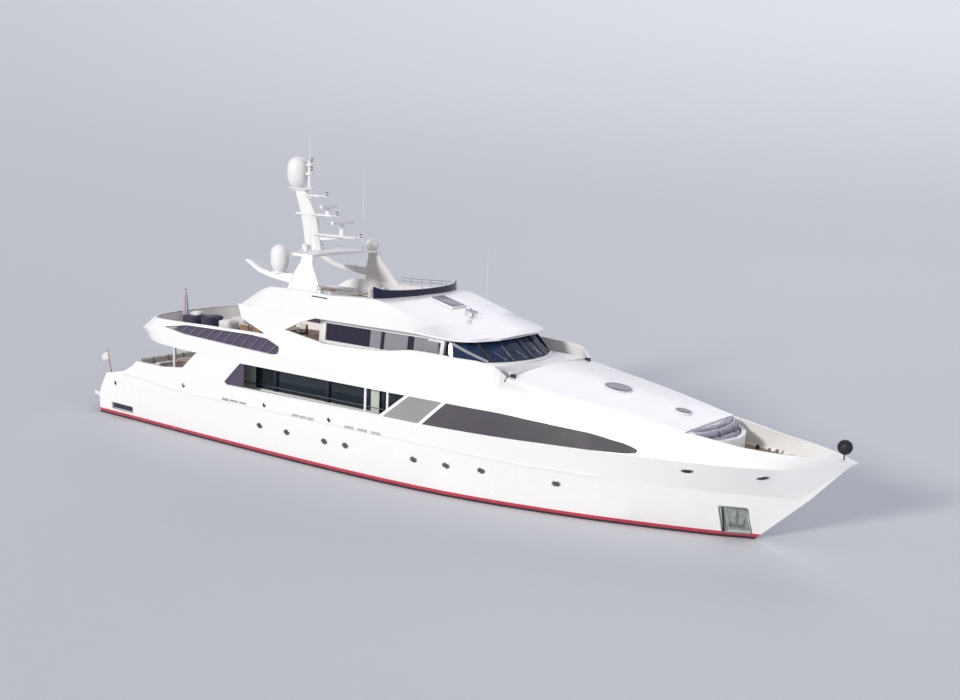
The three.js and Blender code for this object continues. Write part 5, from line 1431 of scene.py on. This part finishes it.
def add_fairings():
    """Fills the step between the bulwark's forward end and the side of the coach roof."""
    start, end = FAIRING_X[1], FAIRING_X[-1]
    for word, side in SIDES.items():
        rows = []
        for z, share in FAIRING_ROWS:
            aft, ahead = skin(start, z, side)[0].y, skin(end, min(z, 2.70), side)[0].y
            rows.append([])
            for x in FAIRING_X:
                part = max(0, (x - start) / (end - start))
                level = z - max(0, z - 2.60) * 0.5 * part
                real = abs(skin(x, level, side)[0].y)
                filled = max(real, abs(aft + (ahead - aft) * part))
                edge = x in (FAIRING_X[0], end) or z in (FAIRING_ROWS[0][0], FAIRING_ROWS[-1][0])
                y = real + (filled - real) * share + (-0.004 if edge else 0.003)
                rows[-1].append(Vector((x, side * y, level)))
        panel = grid("bulwark_fairing_" + word, rows)
        fit(smooth(thicken(flipped(panel) if side > 0 else panel, 0.004, -1), 60), "white")


def add_side_lamps():
    """A dark screen with a lamp, let in where each bulwark ends beside the wheelhouse."""
    for word, side in SIDES.items():
        y = skin(4.34, 2.86, side, ("coach_roof",))[0].y
        fit(box("side_lamp_screen_" + word, (4.28, y - 0.03, 2.795), (4.40, y + 0.03, 2.925), 0.006), "black")
        lens = drum("side_lamp_" + word, (4.402, y + side * 0.010, 2.835), 0.020, 0.05, vertices=24)
        fit(lens, "green_lamp" if side < 0 else "red_lamp")


def add_upper_room(floor):
    desk = [(2.55, -1.30), (2.95, -1.15), (3.12, -0.6), (3.16, 0), (3.12, 0.6), (2.95, 1.15), (2.55, 1.30),
            (2.75, 0.6), (2.80, 0), (2.75, -0.6)]
    fit(slab("helm_desk", desk, floor + 0.30, floor + 0.52, 0.02), "dark")
    for word, y in (("left", 0.35), ("right", -0.35)):
        parts = [drum("post", (2.25, y, floor), 0.03, 0.28),
                 box("seat", (2.10, y - 0.15, floor + 0.28), (2.40, y + 0.15, floor + 0.36), 0.03, 3),
                 box("back", (2.06, y - 0.14, floor + 0.34), (2.13, y + 0.14, floor + 0.78), 0.03, 3)]
        fit(joined("helm_chair_" + word, parts), "navy")
    fit(joined("lounge_sofas", sofas([(-1.05, 0.6)], 1.50, 0.1, floor + 0.004, floor + 0.42)), "cream")
    fit(box("lounge_bulkhead", (1.42, -1.40, floor + 0.004), (1.46, 1.40, floor + 1.12)), "varnish")


def sofas(lengths, y, half_width, low, high):
    """A soft block on each side for each length (x0, x1)."""
    return [box("sofa", (x0, side * y - half_width, low), (x1, side * y + half_width, high), 0.04, 3)
            for x0, x1 in lengths for side in SIDES.values()]


SALOON_SOFAS = [(-4.2, -2.4), (-0.8, 0.6)]
SALOON_CHAIRS = [(x, side * 0.52, side * -90) for side in (-1, 1) for x in (1.2, 1.7, 2.1)]


def add_saloon(floor):
    seats = sofas(SALOON_SOFAS, 1.30, 0.16, floor + 0.002, floor + 0.22)
    backs = sofas(SALOON_SOFAS, 1.48, 0.05, floor + 0.10, floor + 0.42)
    fit(joined("saloon_sofas", seats + backs), "cream")
    tables = [slab("saloon_table", rounded(-3.7, -2.9, -0.35, 0.35, 0.1), floor + 0.18, floor + 0.20, 0.005),
              drum("post", (-3.3, 0, floor), 0.08, 0.185),
              slab("saloon_table", rounded(0.9, 2.3, -0.36, 0.36, 0.12), floor + 0.35, floor + 0.375, 0.005),
              drum("post", (1.6, 0, floor), 0.09, 0.355)]
    fit(joined("saloon_tables", tables), "varnish")
    chairs("saloon_chair", floor + 0.002, SALOON_CHAIRS)


add_wipers()
add_window_trim()
add_handles()
add_fairings()
add_side_lamps()
add_upper_room(UPPER_FLOOR)
add_saloon(MAIN_FLOOR)


# Floor at the waterline, and soft light


# Rings of the backdrop outside the flat floor. Columns: radius, height.
BACKDROP = [(110, 1.5), (135, 6), (155, 15), (168, 27), (176, 40)]
FLAT_RADIUS = 80


def add_floor():
    """A flat floor whose far edge curves up to a pale backdrop all round."""
    bpy.ops.mesh.primitive_circle_add(vertices=96, radius=FLAT_RADIUS, fill_type="NGON")
    flat = bpy.context.object
    bpy.ops.mesh.primitive_circle_add(vertices=96, radius=FLAT_RADIUS)
    rings = bpy.context.object
    choose(rings, "EDGE")
    before, level = FLAT_RADIUS, 0
    for radius, height in BACKDROP:
        bpy.ops.mesh.extrude_region_move(TRANSFORM_OT_translate={"value": (0, 0, height - level)})
        bpy.ops.transform.resize(value=(radius / before, radius / before, 1), center_override=(0, 0, height))
        before, level = radius, height
    done()
    floor = smooth(outward(joined("floor", [rings, flat]), 0.001, inside=True), 60)
    floor.data.materials.append(Paint("pale_floor", (0.62, 0.64, 0.67), 0.7, mottle=0.01).material)


# Columns: direction the light comes from, softness in degrees, strength, colour
SUNS = [
    ((-0.08, -0.92, 0.30), 9, 2.25, (1.0, 0.97, 0.92)),
    ((0.85, -0.30, 0.40), 30, 0.36, (0.95, 0.95, 1.0)),
    ((-0.30, 0.80, 0.52), 30, 0.40, (0.95, 0.95, 1.0)),
]
# Colour and strength of the light from all round.
SKY = (0.84, 0.84, 0.95, 1), 0.57


def add_lights():
    for direction, softness, strength, color in SUNS:
        turn = (-Vector(direction)).to_track_quat("-Z", "Y").to_euler()
        bpy.ops.object.light_add(type="SUN", location=Vector(direction) * 40, rotation=turn)
        lamp = bpy.context.object.data
        lamp.angle, lamp.energy, lamp.color = math.radians(softness), strength, color
    world = bpy.data.worlds.new("studio")
    world.use_nodes = True
    sky = world.node_tree.nodes["Background"].inputs
    sky["Color"].default_value, sky["Strength"].default_value = SKY
    bpy.context.scene.world = world
    bpy.context.scene.view_settings.view_transform = "Standard"


add_floor()
add_lights()
